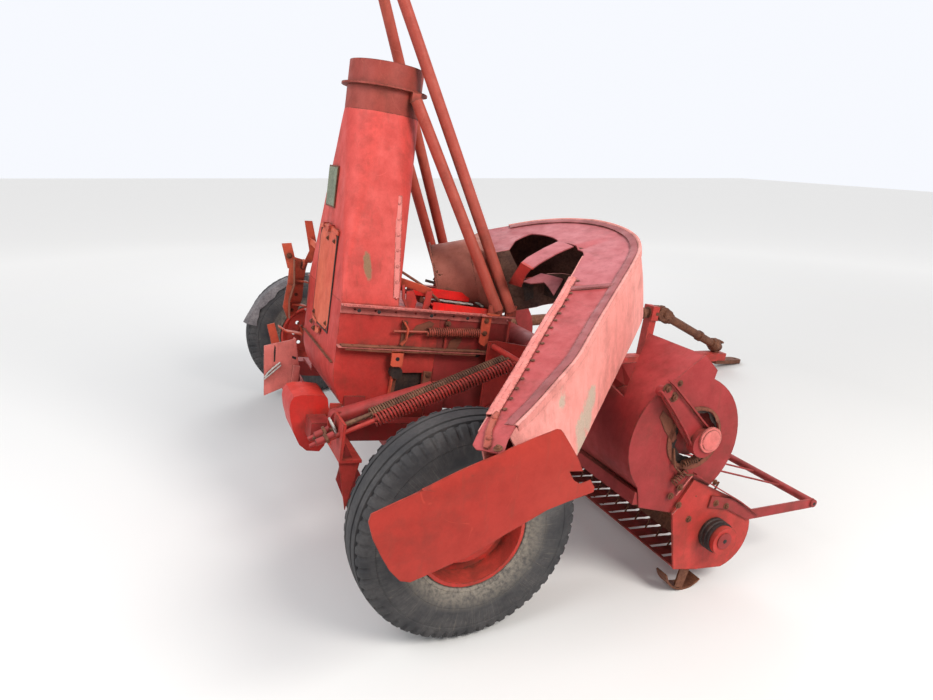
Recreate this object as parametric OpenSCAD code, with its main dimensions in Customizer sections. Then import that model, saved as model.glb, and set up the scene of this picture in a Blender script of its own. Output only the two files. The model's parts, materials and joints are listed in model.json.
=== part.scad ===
// Trailed single-drum forage harvester with a pickup header, parked nose down on its drawbar.
// Its goose-neck spout is taken off and lies on its side across the feed housing.
// Level frame: X forward, Y left, Z up, ground below the axle at zero; posed() sets it down.

/* [Wheels and axle] */
// Outer diameter of a tyre
tyre_d = 840; // [800:10:880]
// Width of a tyre
tyre_w = 235; // [200:5:250]
// Depth of a tread groove
groove_depth = 9; // [6:1:14]
// Diameter of the rim at the tyre's bead
rim_d = 410; // [390:5:430]
// Diameter of the wheel hub
hub_d = 130; // [110:5:150]
// Distance between the centre planes of the wheels
track = 2750; // [2700:10:2800]
// Height and depth of the square axle beam
axle_bar = 90; // [70:5:100]
// Diameter of a stub axle
stub_d = 50; // [40:2:60]

/* [Frame and drawbar] */
// Height of the frame's long beams
beam_h = 80; // [60:5:90]
// Width of the frame's long beams
beam_w = 80; // [60:5:90]
// Middle of the left beam, from the centre line
left_beam_y = 240; // [230:5:260]
// Middle of the right beam, from the centre line
right_beam_y = -680; // [-690:5:-675]
// Rear end of the frame, behind the axle
frame_rear = -420; // [-440:5:-400]
// Forward reach of the drawbar's eye
hitch_x = 3430; // [3300:10:3500]
// Sideways place of the drawbar's eye
hitch_y = 810; // [760:10:860]
// Height of the underside of the hitch when level
hitch_z = 508; // [500:2:520]
// Width of the hitch tongue
tongue_w = 100; // [80:5:110]
// Thickness of the hitch tongue
tongue_t = 30; // [25:1:40]
// Diameter of the hole for the drawbar pin
hitch_bore = 32; // [28:1:36]
// Where the driveline post stands along the drawbar
post_x = 2290; // [2200:10:2350]
// Height of the driveline bearing on the post when level
post_z = 900; // [860:10:940]
// Diameter of the driveline's shaft
shaft_d = 50; // [40:2:56]

/* [Chopper and chute] */
// Width of the chopper housing over its side plates
housing_w = 650; // [630:5:660]
// Middle of the housing, from the centre line
housing_y = -300; // [-305:1:-295]
// Thickness of the steel sheet
sheet = 6; // [4:1:8]
// Radius of the scroll round the drum
scroll_r = 270; // [265:1:275]
// Radius of the chopping drum at the tips of its knives
drum_r = 235; // [220:1:245]
// Height of the drum's shaft when level
drum_z = 752; // [745:1:760]
// Depth of the chute at its foot
chute_depth = 250; // [230:5:260]
// Height of the chute above its foot
chute_h = 780; // [740:10:820]
// Outer diameter of the round collar
collar_d = 322; // [312:2:330]
// Height of the collar
collar_h = 200; // [180:5:220]
// Diameter of the flange round the collar
flange_d = 372; // [364:2:376]
// Height of the chute's inspection door
door_h = 430; // [400:5:440]
// Width of the inspection door
door_w = 300; // [260:5:320]
// Diameter of the four pipes that brace the chute and carry the mast
pipe_d = 50; // [42:2:54]
// Height of the mast's eye when level
mast_z = 2800; // [2750:10:2850]
// Diameter of the hole in the mast's eye
mast_bore = 40; // [30:1:45]

/* [Feed rolls] */
// Radius of the upper feed roll over its bars
upper_roll_r = 80; // [76:1:82]
// Radius of the lower feed roll
lower_roll_r = 70; // [66:1:74]
// Front end of the feed housing
feed_front = 470; // [465:1:480]

/* [Header] */
// Width of the pickup header over its end plates
header_w = 1650; // [1600:10:1660]
// Middle of the header, from the centre line
header_y = -700; // [-705:1:-695]
// Radius of the trough's curved back sheet
trough_r = 250; // [246:1:256]
// Height of the straight sheet above the curved one
wall_h = 215; // [190:5:225]
// Radius of the auger's flighting
auger_r = 180; // [170:1:184]
// Diameter of the auger's tube
auger_tube = 150; // [120:5:160]
// Pitch of the auger's flighting
auger_pitch = 300; // [260:10:340]
// Radius of the tine tips of the pickup
tine_r = 190; // [184:1:194]
// Radius of the stripper bands round the pickup
stripper_r = 140; // [134:1:144]
// Diameter of the header's hinge pins
hinge_pin = 40; // [34:1:44]
// Reach of the wind guard in front of the pickup's end plates
guard_reach = 500; // [460:10:520]
// Diameter of a lift spring's coils
spring_d = 56; // [50:1:60]
// Bore of the lift cylinder's barrel, outside
barrel_d = 60; // [54:1:64]
// Diameter of the lift cylinder's rod
rod_d = 32; // [26:1:36]

/* [Laid spout] */
// Width of the spout across its side sheets
spout_w = 300; // [285:5:305]
// Radius of the spout's outer bend
bend_r = 451; // [445:1:456]
// Length of the spout's straight leg
leg_l = 1261; // [1230:2:1280]
// Depth of the spout's leg at the bend
leg_depth = 228; // [220:1:234]
// Depth of the spout at its mouth
mouth_depth = 155; // [148:1:170]
// Diameter of the spout's round base
base_d = 342; // [338:1:346]
// Length of the flap
flap_l = 620; // [580:10:640]
// Depth of the flap
flap_h = 245; // [230:5:260]

/* [Hidden] */
$fn = 48;

// Clearances
run_gap = 0.3;

// Wheels and the pose on the ground
wheel_r = tyre_d / 2;
nose_x = hitch_x + tongue_w / 2;
nose_reach = sqrt(pow(nose_x, 2) + pow(hitch_z - wheel_r, 2));
pitch = atan2(hitch_z - wheel_r, nose_x) + asin(wheel_r / nose_reach);
function ground_z(x) = wheel_r + (x * sin(pitch) - wheel_r) / cos(pitch);

// Housing
near_y = housing_y - housing_w / 2;
far_y = housing_y + housing_w / 2;
drum_x = -60;
chute_rear = drum_x - scroll_r;
chute_front = chute_rear + chute_depth;
seam_z = 855;
rail_z = 1036;
rail_w = 40;
chute_foot_z = 1040;
top_z = rail_z - rail_w / 2;
collar_z = chute_foot_z + chute_h;
collar_x = -160;
flange_z = collar_z + collar_h * 0.5;
case_y = far_y + rail_w + 35;
door_z = 870;
door_pin_d = 12;
door_pin = [chute_rear - 12, door_z + door_h + 14];

// Frame
frame_z = wheel_r + axle_bar / 2;
beam_top = frame_z + beam_h;
frame_front = 330;
drawbar_slope_y = (hitch_y - left_beam_y) / (hitch_x - frame_front);
function drawbar_y(x) = left_beam_y + (x - frame_front) * drawbar_slope_y;

// Feed rolls
upper_roll = [325, 850];
lower_roll = [280, 682];

// Header
header_near = header_y - header_w / 2;
header_far = header_y + header_w / 2;
hinge = [400, 600];
trough = [790, 785];
auger_at = [828, 797];
pickup_at = [1035, 392];
plate_t = 5;
skid_x = 975;
skid_z = ground_z(skid_x);
wall_angle = 130;
wall_foot = [trough[0] + trough_r * cos(wall_angle), trough[1] + trough_r * sin(wall_angle)];
wall_top = [wall_foot[0] + wall_h * cos(wall_angle - 90), wall_foot[1] + wall_h * sin(wall_angle - 90)];
low_wall_y = -1180;
low_angle = 146;
lift_top = 10;
band_count = 22;
band_pitch = header_w / band_count;
band_gap = 20;
beam_x = 610;
beam_z = 530;

// Lift springs and cylinder, all hooked to the header's lever
lever = [373, 900];
lever_d = 26;
spring_rear = [-400, 560];
spring_rod = 20;
spring_ys = [-930, -865];
cylinder_y = -785;
cylinder_rear = [-340, 600];
cylinder_front = [385, 835];
cylinder_pin = 24;
lift_near = near_y - rail_w - 17;
lift_far = far_y + rail_w + 5;
lift_t = 12;

// Laid spout: its plane rises forward and to the left
spout_at = [589, -746, 1256];
spout_slope = 15.5;
spout_turn = 25.6;
base_heading = -19;
bend_turn = 120;
base_depth = 330;
base_l = 446;
square_l = 184;
morph_l = 80;
spout_t = 4;
bend_steps = 16;

base_dir = [cos(base_heading), sin(base_heading)];
base_in = [sin(base_heading), -cos(base_heading)];
bend_start = bend_r * [-sin(base_heading), cos(base_heading)];
leg_heading = base_heading - bend_turn;
leg_dir = [cos(leg_heading), sin(leg_heading)];
leg_in = [sin(leg_heading), -cos(leg_heading)];
bend_end = -bend_r * leg_in;
mouth = bend_end + leg_l * leg_dir + mouth_depth * leg_in;
flap_pin = mouth + [0, -mouth_depth * 0.75];
strap_foot = mouth - 45 * leg_dir - 30 * leg_in;

// The middle of the machine's box, from the drawbar's nose, the flap's low corner and the left tyre
function turned(p, a) = [p[0] * cos(a) - p[1] * sin(a), p[0] * sin(a) + p[1] * cos(a), p[2]];
function dipped(p, a) = [p[0] * cos(a) + p[2] * sin(a), p[1], p[2] * cos(a) - p[0] * sin(a)];
function laid_point(p) = spout_at + turned(dipped(turned(p, -spout_turn), -spout_slope), spout_turn);
flap_side = laid_point([flap_pin[0] + flap_l * 0.42, flap_pin[1] - 12, -1]);
cover_low = [-533, 485];
nose_out = nose_x * cos(pitch) + (hitch_z + tongue_t - wheel_r) * sin(pitch);
tail_out = cover_low[0] * cos(pitch) + (cover_low[1] - wheel_r) * sin(pitch);
mid_x = (nose_out + tail_out) / 2;
mid_y = (track / 2 + tyre_w / 2 + flap_side[1]) / 2;

// The header's hinge on the parked machine
hinge_out = [hinge[0] * cos(pitch) + (hinge[1] - wheel_r) * sin(pitch) - mid_x,
    wheel_r - hinge[0] * sin(pitch) + (hinge[1] - wheel_r) * cos(pitch)];

// Sets a piece drawn level down on the ground
module posed() {
    translate([-mid_x, -mid_y, wheel_r])
        rotate([0, pitch, 0])
            translate([0, 0, -wheel_r])
                children();
}

// Places a piece drawn in the laid spout's own plane
module laid() {
    translate([spout_at[0] - mid_x, spout_at[1] - mid_y, spout_at[2]])
        rotate([0, 0, spout_turn])
            rotate([0, -spout_slope, 0])
                rotate([0, 0, -spout_turn])
                    children();
}

// A plate in the XZ plane from y over its thickness
module side_plate(pts, y, t) {
    translate([0, y + t, 0]) rotate([90, 0, 0]) linear_extrude(t) polygon(pts);
}

// A round bar along Y
module cross_bar(at, y0, y1, d) {
    translate([at[0], y1, at[1]]) rotate([90, 0, 0]) cylinder(d = d, h = y1 - y0);
}

// A round bar between two points
module rod(a, b, d) {
    v = b - a;
    l = norm(v);
    translate(a) rotate([0, acos(v[2] / l), atan2(v[1], v[0])]) cylinder(d = d, h = l);
}

// A box by its low and high corners
module box(a, b) {
    translate(a) cube(b - a);
}

function arc(c, r, a0, a1, n) = [for (i = [0:n]) let (a = a0 + (a1 - a0) * i / n) [c[0] + r * cos(a), c[1] + r * sin(a)]];

// Wheels

// Outline of a tyre's section, a rounded box from bead to tread
function tyre_outline() = let (c = (wheel_r + rim_d / 2) / 2, h = (wheel_r - rim_d / 2) / 2, w = tyre_w / 2)
    [for (i = [0:31]) let (a = i * 360 / 32, p = 0.62)
        [c + h * sign(cos(a)) * pow(abs(cos(a)), p), w * sign(sin(a)) * pow(abs(sin(a)), p)]];

module tyre(side) {
    translate([-mid_x, side * track / 2 - mid_y, wheel_r])
        rotate([90, 0, 0])
            rotate_extrude($fn = 96)
                difference() {
                    polygon(tyre_outline());
                    for (row = [-1.5:1:1.5])
                        translate([wheel_r - groove_depth, row * tyre_w / 6 - 5])
                            square([groove_depth + 1, 10]);
                }
}

module rim(side) {
    bead = rim_d / 2 - run_gap;
    half = tyre_w * 0.38;
    dish = tyre_w * 0.12;
    translate([-mid_x, side * track / 2 - mid_y, wheel_r])
        rotate([side * -90, 0, 0]) {
            difference() {
                rotate_extrude($fn = 96)
                    polygon([[stub_d / 2 + run_gap, -60], [hub_d / 2, -60], [hub_d / 2, dish],
                        [bead - 60, dish], [bead - 30, -10], [bead - 14, -10], [bead - 14, -half],
                        [bead, -half], [bead, half], [bead - 14, half], [bead - 14, 0],
                        [bead - 36, 0], [bead - 64, dish + 8], [hub_d / 2, dish + 8],
                        [hub_d / 2 - 14, 62], [stub_d / 2 + run_gap, 62]]);
                translate([0, 0, 62]) cylinder(d = hub_d - 40, h = 22);
                for (a = [0:45:315])
                    rotate(a) translate([hub_d / 2 + 34, 0, -20]) cylinder(d = 26, h = tyre_w);
            }
        }
}

module axle_beam() {
    posed() color("firebrick") {
        reach = track / 2 - 62;
        translate([0, 0, wheel_r]) cube([axle_bar, 2 * reach - 60, axle_bar], center = true);
        for (s = [-1, 1]) {
            translate([0, s * (reach - 30), wheel_r]) rotate([s * -90, 0, 0]) {
                cylinder(d = 150, h = 16);
                cylinder(d = stub_d, h = 92 + 60);
            }
        }
    }
}

// Frame

module main_frame() {
    posed() color("firebrick") {
        box([frame_rear, left_beam_y - beam_w / 2, frame_z], [frame_front, left_beam_y + beam_w / 2, beam_top]);
        box([frame_rear, right_beam_y - beam_w / 2, frame_z], [frame_front, right_beam_y + beam_w / 2, beam_top]);
        box([frame_rear, right_beam_y, frame_z], [frame_rear + beam_w, left_beam_y, beam_top]);
        box([250, right_beam_y - beam_w / 2, frame_z - 70], [frame_front, left_beam_y + beam_w / 2, frame_z]);
        // Feet under the housing's side plates and the drive case
        for (x = [-270, 100]) {
            box([x, far_y, beam_top], [x + 90, left_beam_y, beam_top + 10]);
            box([x, right_beam_y, beam_top], [x + 90, near_y, beam_top + 10]);
            box([x, far_y, beam_top], [x + 90, far_y + 10, beam_top + 90]);
            box([x, near_y - 10, beam_top], [x + 90, near_y, beam_top + 90]);
        }
    }
}

module drawbar_bar() {
    hull() {
        box([frame_front, left_beam_y - beam_w / 2, frame_z], [frame_front + 40, left_beam_y + beam_w / 2, beam_top]);
        box([hitch_x - 300, drawbar_y(hitch_x - 300) - 40, hitch_z + tongue_t],
            [hitch_x - 200, drawbar_y(hitch_x - 300) + 40, hitch_z + tongue_t + 60]);
    }
}

module drawbar() {
    posed() color("firebrick") difference() {
        drawbar_bar();
        box([hitch_x - 300, 0, hitch_z - 60], [hitch_x, hitch_y + 200, hitch_z + tongue_t]);
    }
}

module hitch_tongue() {
    posed() color("dimgray") difference() {
        union() {
            translate([hitch_x, hitch_y, hitch_z]) cylinder(d = tongue_w, h = tongue_t);
            side = drawbar_y(hitch_x) - drawbar_y(hitch_x - 300);
            translate([hitch_x - 300, 0, hitch_z]) linear_extrude(tongue_t)
                polygon([[0, hitch_y - side - tongue_w / 2], [300, hitch_y - tongue_w / 2],
                    [300, hitch_y + tongue_w / 2], [0, hitch_y - side + tongue_w / 2]]);
        }
        translate([hitch_x, hitch_y, hitch_z - 1]) cylinder(d = hitch_bore, h = tongue_t + 2);
    }
}

// The upright that carries the driveline's middle bearing
module driveline_post() {
    y = drawbar_y(post_x);
    posed() color("firebrick") difference() {
        union() {
            box([post_x - 30, y - 35, frame_z + 60], [post_x + 30, y + 35, post_z]);
            box([post_x - 30, y - 52, post_z - 52], [post_x + 30, y + 52, post_z + 52]);
        }
        drawbar_bar();
        translate([post_x - 40, y, post_z]) rotate([0, 90, 0]) cylinder(d = shaft_d + 2 * run_gap, h = 80);
    }
}

module power_shaft() {
    y = drawbar_y(post_x);
    front = [hitch_x - 250, drawbar_y(hitch_x - 250), hitch_z + tongue_t + 60 + 37];
    posed() color("dimgray") {
        rod([420, left_beam_y + 95, 740], [480, left_beam_y + 95, 740], shaft_d);
        cross_bar([490, 740], left_beam_y + 50, left_beam_y + 140, 100);
        rod([490, left_beam_y + 95, 740], [post_x - 90, y, post_z], 70);
        rod([post_x - 100, y, post_z], [post_x + 80, y, post_z], shaft_d);
        cross_bar([post_x + 90, post_z], y - 46, y + 46, 104);
        rod([post_x + 90, y, post_z], front, 64);
    }
}

// Chopper housing and chute

module chopper_housing() {
    outer = concat([[chute_front, chute_foot_z], [chute_rear, chute_foot_z]],
        arc([drum_x, drum_z], scroll_r, 180, 300, 16), [[120, seam_z - 290], [120, top_z]]);
    inner = concat([[chute_front - sheet, chute_foot_z + 1], [chute_rear + sheet, chute_foot_z + 1]],
        arc([drum_x, drum_z], scroll_r - sheet, 180, 296, 16), [[120, seam_z - 270], [121, top_z - sheet],
        [chute_front - sheet, top_z - sheet]]);
    posed() color("indianred") difference() {
        side_plate(outer, near_y, housing_w);
        side_plate(inner, near_y + sheet, housing_w - 2 * sheet);
        cross_bar([drum_x, drum_z], near_y - 10, far_y + 10, 55 + 2 * run_gap);
    }
}

// Angle irons along the top of the side plates, with a row of holes, and the seam flanges
module top_rails() {
    posed() color("indianred") difference() {
        for (side = [[near_y - rail_w, near_y - sheet], [far_y, far_y]]) {
            box([chute_rear, side[0], rail_z - sheet], [feed_front, side[0] + rail_w, rail_z]);
            box([chute_rear, side[1], rail_z - rail_w], [feed_front, side[1] + sheet, rail_z]);
            box([chute_rear, side[0], seam_z], [feed_front, side[0] + rail_w, seam_z + sheet]);
        }
        for (x = [chute_rear + 60:90:feed_front])
            cross_bar([x, rail_z - 22], near_y - rail_w - 1, far_y + rail_w + 1, 10);
    }
}

module feed_housing() {
    low = [[120, 590], [feed_front, 560], [feed_front, rail_z - rail_w], [120, rail_z - rail_w]];
    posed() color("brown") {
        difference() {
            union() {
                side_plate(low, near_y, sheet);
                side_plate(low, far_y - sheet, sheet);
                box([120, near_y, 905], [180, far_y, 911]);
                box([feed_front - 50, near_y, 590], [feed_front, far_y, 596]);
            }
            cross_bar(upper_roll, near_y - 10, far_y + 10, 40 + 2 * run_gap);
            cross_bar(lower_roll, near_y - 10, far_y + 10, 40 + 2 * run_gap);
        }
        for (s = [[lift_near - 12, near_y], [far_y, lift_far + lift_t + 12]])
            cross_bar(hinge, s[0], s[1], hinge_pin);
    }
}

// Cross channel between the rails with a saddle for the laid spout
module spout_rest() {
    difference() {
        posed() color("brown")
            box([300, near_y + sheet, upper_roll[1] + upper_roll_r + 8], [345, far_y - sheet, rail_z - 28]);
        laid() base_tube(base_d / 2 + run_gap, 600);
    }
}

module drive_case() {
    posed() color("firebrick") {
        // Belt and gear case on the left side
        side_plate(concat(arc([drum_x, drum_z], 165, 90, 270, 12), arc([300, 770], 120, -90, 90, 12)), case_y, 55);
        rod([420, left_beam_y + 95, 740], [300, left_beam_y + 95, 740], 150);
        box([250, case_y + 40, 690], [350, left_beam_y + 95, 790]);
        box([250, case_y + 40, beam_top], [330, left_beam_y + 35, 700]);
    }
}

module rear_guard() {
    pts = concat([[chute_rear - 6, 640], [-470, 655]], [[-500, 640], [-440, 420], [-350, 330]], [[-330, 360], [-320, 460]]);
    posed() color("red") difference() {
        side_plate(pts, near_y + 20, 200);
        side_plate([for (p = pts) [p[0] + 8, p[1] - 8]], near_y + 26, 188);
        box([frame_rear, right_beam_y, frame_z], [frame_rear + beam_w, left_beam_y, beam_top]);
    }
}

// A loose cover plate with a folded edge, standing tilted behind the housing
module tilted_cover() {
    y = -208;
    posed() color("salmon") difference() {
        union() {
            side_plate([[-554, 728], [-412, 769], [-372, 564], cover_low], y, 8);
            side_plate([[-412, 769], [-372, 564], [-380, 562], [-420, 767]], y, 34);
            box([-415, y - 20, beam_top], [-385, y + 1, 640]);
        }
        box([frame_rear, right_beam_y, frame_z], [frame_rear + beam_w, left_beam_y, beam_top]);
    }
}

module chute() {
    module shell(inset, extra) {
        hull() {
            box([chute_rear + inset, near_y + inset, chute_foot_z - extra], [chute_front - inset, far_y - inset, chute_foot_z + 1]);
            translate([collar_x, housing_y, collar_z]) cylinder(d = collar_d - 2 * inset, h = 1 + extra, $fn = 64);
        }
    }
    posed() color("indianred") difference() {
        union() {
            shell(0, 0);
            for (y = [-60, 48])
                box([door_pin[0] - 9, housing_y + y, door_pin[1] - 9], [chute_rear + 5, housing_y + y + 12, door_pin[1] + 12]);
        }
        shell(sheet, 2);
        cross_bar(door_pin, housing_y - 61, housing_y + 61, door_pin_d + 2 * run_gap);
        box([chute_rear - 20, housing_y - door_w / 2 + 25, chute_foot_z + 20],
            [chute_rear + 20, housing_y + door_w / 2 - 25, door_z + door_h - 40]);
    }
}

module chute_collar() {
    posed() color("indianred") translate([collar_x, housing_y, 0]) difference() {
        union() {
            translate([0, 0, collar_z + 1]) cylinder(d = collar_d, h = collar_h, $fn = 96);
            translate([0, 0, flange_z]) cylinder(d = flange_d, h = 8, $fn = 96);
        }
        translate([0, 0, collar_z]) cylinder(d = collar_d - 2 * sheet, h = collar_h + 2, $fn = 96);
    }
}

module collar_braces() {
    posed() color("tomato") {
        for (s = [-1, 1]) {
            foot = [385, housing_y + s * (housing_w / 2 + 20), rail_z];
            top = [collar_x + 90, housing_y + s * (collar_d / 2 + 14), flange_z - 30];
            rod(foot + [0, 0, 22], top, pipe_d);
            box(foot - [45, 8, 0], foot + [20, 8, 45]);
            difference() {
                box([top[0] - 20, housing_y + (s < 0 ? s * collar_d / 2 - 14 : 90), top[2] - 12],
                    [top[0] + 20, housing_y + (s < 0 ? -90 : collar_d / 2 + 14), flange_z]);
                translate([collar_x, housing_y, collar_z]) cylinder(d = collar_d, h = collar_h, $fn = 96);
            }
        }
    }
}

module spout_mast() {
    apex = [-400, housing_y, mast_z];
    posed() color("tomato") difference() {
        union() {
            for (s = [-1, 1]) {
                foot = [450, housing_y + s * (housing_w / 2 + 20), rail_z];
                rod(foot + [0, 0, 22], apex + [0, s * 30, -60], pipe_d);
                box(foot - [25, 8, 0], foot + [25, 8, 50]);
            }
            box(apex - [50, 30, 120], apex + [50, 30, 50]);
        }
        cross_bar([apex[0], apex[2]], apex[1] - 40, apex[1] + 40, mast_bore);
    }
}

module chute_door() {
    posed() color("coral") {
        translate([chute_rear - 4 - run_gap, 0, 0])
            rotate([90, 0, 90]) linear_extrude(4)
                polygon(concat(
                    arc([housing_y + door_w / 2 - 50, door_z + 50], 50, -90, 0, 6),
                    arc([housing_y + door_w / 2 - 50, door_z + door_h - 50], 50, 0, 90, 6),
                    arc([housing_y - door_w / 2 + 50, door_z + door_h - 50], 50, 90, 180, 6),
                    arc([housing_y - door_w / 2 + 50, door_z + 50], 50, 180, 270, 6)));
        cross_bar(door_pin, housing_y - 60, housing_y + 60, door_pin_d);
        box([door_pin[0] - 4, housing_y - 30, door_z + door_h - 8], [chute_rear - run_gap, housing_y + 30, door_pin[1]]);
    }
}

module chopping_drum() {
    posed() color("dimgray") {
        cross_bar([drum_x, drum_z], near_y - 30, case_y - run_gap, 55);
        cross_bar([drum_x, drum_z], near_y + 20, far_y - 20, 330);
        for (a = [11:45:326])
            translate([drum_x, 0, drum_z]) rotate([0, a, 0])
                box([150, near_y + 28, -8], [drum_r, far_y - 28, 8]);
    }
}

module feed_roll(at, r, bars) {
    cross_bar(at, near_y + run_gap, far_y - run_gap, 40);
    cross_bar(at, near_y + 15, far_y - 15, 2 * r - 30);
    for (i = [0:bars - 1])
        translate([at[0], 0, at[1]]) rotate([0, 7 + i * 360 / bars, 0])
            box([r - 25, near_y + 22, -5], [r, far_y - 22, 5]);
}

module feed_roll_upper() {
    posed() color("dimgray") feed_roll(upper_roll, upper_roll_r, 8);
}

module feed_roll_lower() {
    posed() color("dimgray") feed_roll(lower_roll, lower_roll_r, 10);
}

// Springs and lift cylinder

module spring_bracket() {
    x = spring_rear[0] + 40;
    z = spring_rear[1];
    shelf = frame_z + 25;
    edge = right_beam_y - beam_w / 2;
    posed() color("firebrick") difference() {
        union() {
            box([x, -975, shelf - 12], [x + 90, edge, shelf]);
            box([x, -975, shelf - 12], [x + 12, -832, z + 75]);
            side_plate([[x, shelf], [x + 90, shelf], [x + 50, 270]], -960, 10);
            // Ear and pin for the lift cylinder
            box([cylinder_rear[0] - 20, -750, shelf - 12], [cylinder_rear[0] + 30, -738, 640]);
            cross_bar(cylinder_rear, -825, -738, cylinder_pin);
        }
        for (y = spring_ys)
            rod([spring_rear[0], y, z], [lever[0], y, lever[1]], spring_rod + 2 * run_gap);
    }
}

// Outline of a close-wound spring as rings from z0 to z1 along its axis
function coil_outline(d, wire, z0, z1) = let (n = floor((z1 - z0) / (2 * wire)))
    concat([[0, z0]], [for (i = [0:n - 1]) each [[d / 2 - wire / 2, z0 + i * 2 * wire], [d / 2, z0 + (i + 0.5) * 2 * wire]]],
        [[d / 2 - wire / 2, z0 + n * 2 * wire], [0, z0 + n * 2 * wire]]);

module coil_spring(a, b, d, wire, z0, z1, rod_thick, end) {
    v = b - a;
    l = norm(v);
    translate(a) rotate([0, acos(v[2] / l), atan2(v[1], v[0])]) {
        rotate_extrude() polygon(coil_outline(d, wire, z0, l - z1));
        translate([0, 0, -50]) cylinder(d = rod_thick, h = l + 50 - end);
    }
}

module lift_springs() {
    posed() color("sienna")
        for (y = spring_ys)
            coil_spring([spring_rear[0], y, spring_rear[1]], [lever[0], y, lever[1]], spring_d, 7, 190, 40,
                spring_rod, lever_d / 2 + run_gap);
}

module tension_spring() {
    y = near_y - 22;
    posed() color("tomato") {
        coil_spring([-20, y, 945], [330, y, 950], 34, 5, 100, 50, 12, 0);
        for (x = [-75, 320])
            box([x, y - 8, 930], [x + 15, near_y, 965]);
    }
}

module lift_barrel() {
    v = cylinder_front - cylinder_rear;
    l = norm(v);
    posed() color("firebrick") translate([cylinder_rear[0], cylinder_y, cylinder_rear[1]])
        rotate([0, 90 - atan2(v[1], v[0]), 0]) difference() {
            union() {
                cylinder(d = barrel_d, h = 420);
                rotate([90, 0, 0]) cylinder(d = 56, h = 50, center = true);
            }
            rotate([90, 0, 0]) cylinder(d = cylinder_pin + 2 * run_gap, h = 60, center = true);
            translate([0, 0, 60]) cylinder(d = rod_d + 2 * run_gap, h = 400);
        }
}

module lift_rod() {
    v = cylinder_front - cylinder_rear;
    l = norm(v);
    posed() color("silver") translate([cylinder_front[0], cylinder_y, cylinder_front[1]])
        rotate([0, 90 - atan2(v[1], v[0]) + 180, 0]) difference() {
            union() {
                cylinder(d = rod_d, h = l - 200);
                rotate([90, 0, 0]) cylinder(d = 56, h = 40, center = true);
            }
            rotate([90, 0, 0]) cylinder(d = 40, h = 60, center = true);
        }
}

// Header

// Lift arms from the hinge to the trough, with the lever bar that springs and cylinder pull
module header_throat() {
    posed() color("firebrick") difference() {
        union() {
            for (y = [lift_near, lift_far])
                side_plate([[hinge[0] - 40, 560], [hinge[0] + 120, 520], [640, 540], [640, 900],
                    [lever[0] + 60, 920], [lever[0] + 20, 925], [lever[0] - 25, 920], [lever[0] - 25, 870]], y, lift_t);
            cross_bar(lever, -960, lift_near, lever_d);
            cross_bar(cylinder_front, -810, lift_near, cylinder_pin);
            box([480, lift_near, 540], [640, lift_far + lift_t, 552]);
        }
        cross_bar(hinge, lift_near - 1, lift_far + lift_t + 1, hinge_pin + 2 * run_gap);
        side_plate(concat([wall_top + [200, 0]], [wall_top + [-3, 4]], arc(trough, trough_r + plate_t, wall_angle, 270, 35)),
            header_near, header_w);
        box([beam_x, header_near, beam_z], [beam_x + 60, header_far, beam_z + 50]);
    }
}

// Room round the laid spout's leg, as the header meets it when it is lifted by an angle
module leg_room(a) {
    translate([hinge_out[0], 0, hinge_out[1]]) rotate([0, a, 0]) translate([-hinge_out[0], 0, -hinge_out[1]])
        laid() translate([bend_end[0], bend_end[1], -spout_w - 9]) rotate([0, 0, leg_heading])
            translate([-120, -leg_depth - 12, 0]) cube([leg_l + 120, leg_depth + 24, spout_w + 400]);
}

// Curved back sheet with a straight top, cut away where the laid spout would meet it, open at the throat
module header_trough() {
    inner = concat([wall_top], arc(trough, trough_r, wall_angle, 270, 35));
    outer = concat(arc(trough, trough_r + plate_t, 270, wall_angle, 35),
        [wall_top + plate_t * [cos(wall_angle), sin(wall_angle)]]);
    low = concat(arc(trough, trough_r, low_angle, 270, (270 - low_angle) / 4),
        arc(trough, trough_r + plate_t, 270, low_angle, (270 - low_angle) / 4));
    color("firebrick") difference() {
        posed() {
            side_plate(concat(inner, outer), header_near, low_wall_y - header_near);
            difference() {
                side_plate(low, low_wall_y, header_far - low_wall_y);
                box([trough[0] - 400, near_y, 560], [trough[0] - 20, far_y, 945]);
            }
            box([beam_x, header_near, beam_z], [beam_x + 60, header_far, beam_z + 50]);
        }
        for (a = [0:2.5:lift_top])
            leg_room(a);
    }
}

module header_end(y) {
    difference() {
        union() {
            side_plate(arc(trough, trough_r + plate_t, 0, 357, 48), y, plate_t);
            side_plate([wall_foot + [-6, 4], wall_top + [-6, 6], wall_top + [70, -50], trough + [60, 180], trough], y, plate_t);
            side_plate([[600, 640], [640, 520], [800, 490], [880, 640]], y, plate_t);
        }
        cross_bar(auger_at, y - 1, y + plate_t + 1, 230);
    }
}

module header_ends() {
    posed() color("firebrick") {
        header_end(header_near - plate_t);
        header_end(header_far);
    }
}

module bearing_arms() {
    posed() color("firebrick")
        for (s = [-1, 1]) {
            y = s < 0 ? header_near - plate_t : header_far + plate_t;
            translate([0, y, 0]) {
                difference() {
                    union() {
                        side_plate([[585, 985], [620, 1020], [auger_at[0] + 35, auger_at[1] + 35],
                            [auger_at[0] - 35, auger_at[1] - 35]], s < 0 ? -38 : 26, 12);
                        cross_bar(auger_at, s < 0 ? -60 : 20, s < 0 ? -20 : 60, 110);
                        cross_bar([615, 982], s < 0 ? -45 : 0, s < 0 ? 0 : 45, 40);
                    }
                    cross_bar(auger_at, s < 0 ? -40 : -1, s < 0 ? 1 : 40, 40 + 2 * run_gap);
                }
            }
        }
}

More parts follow.
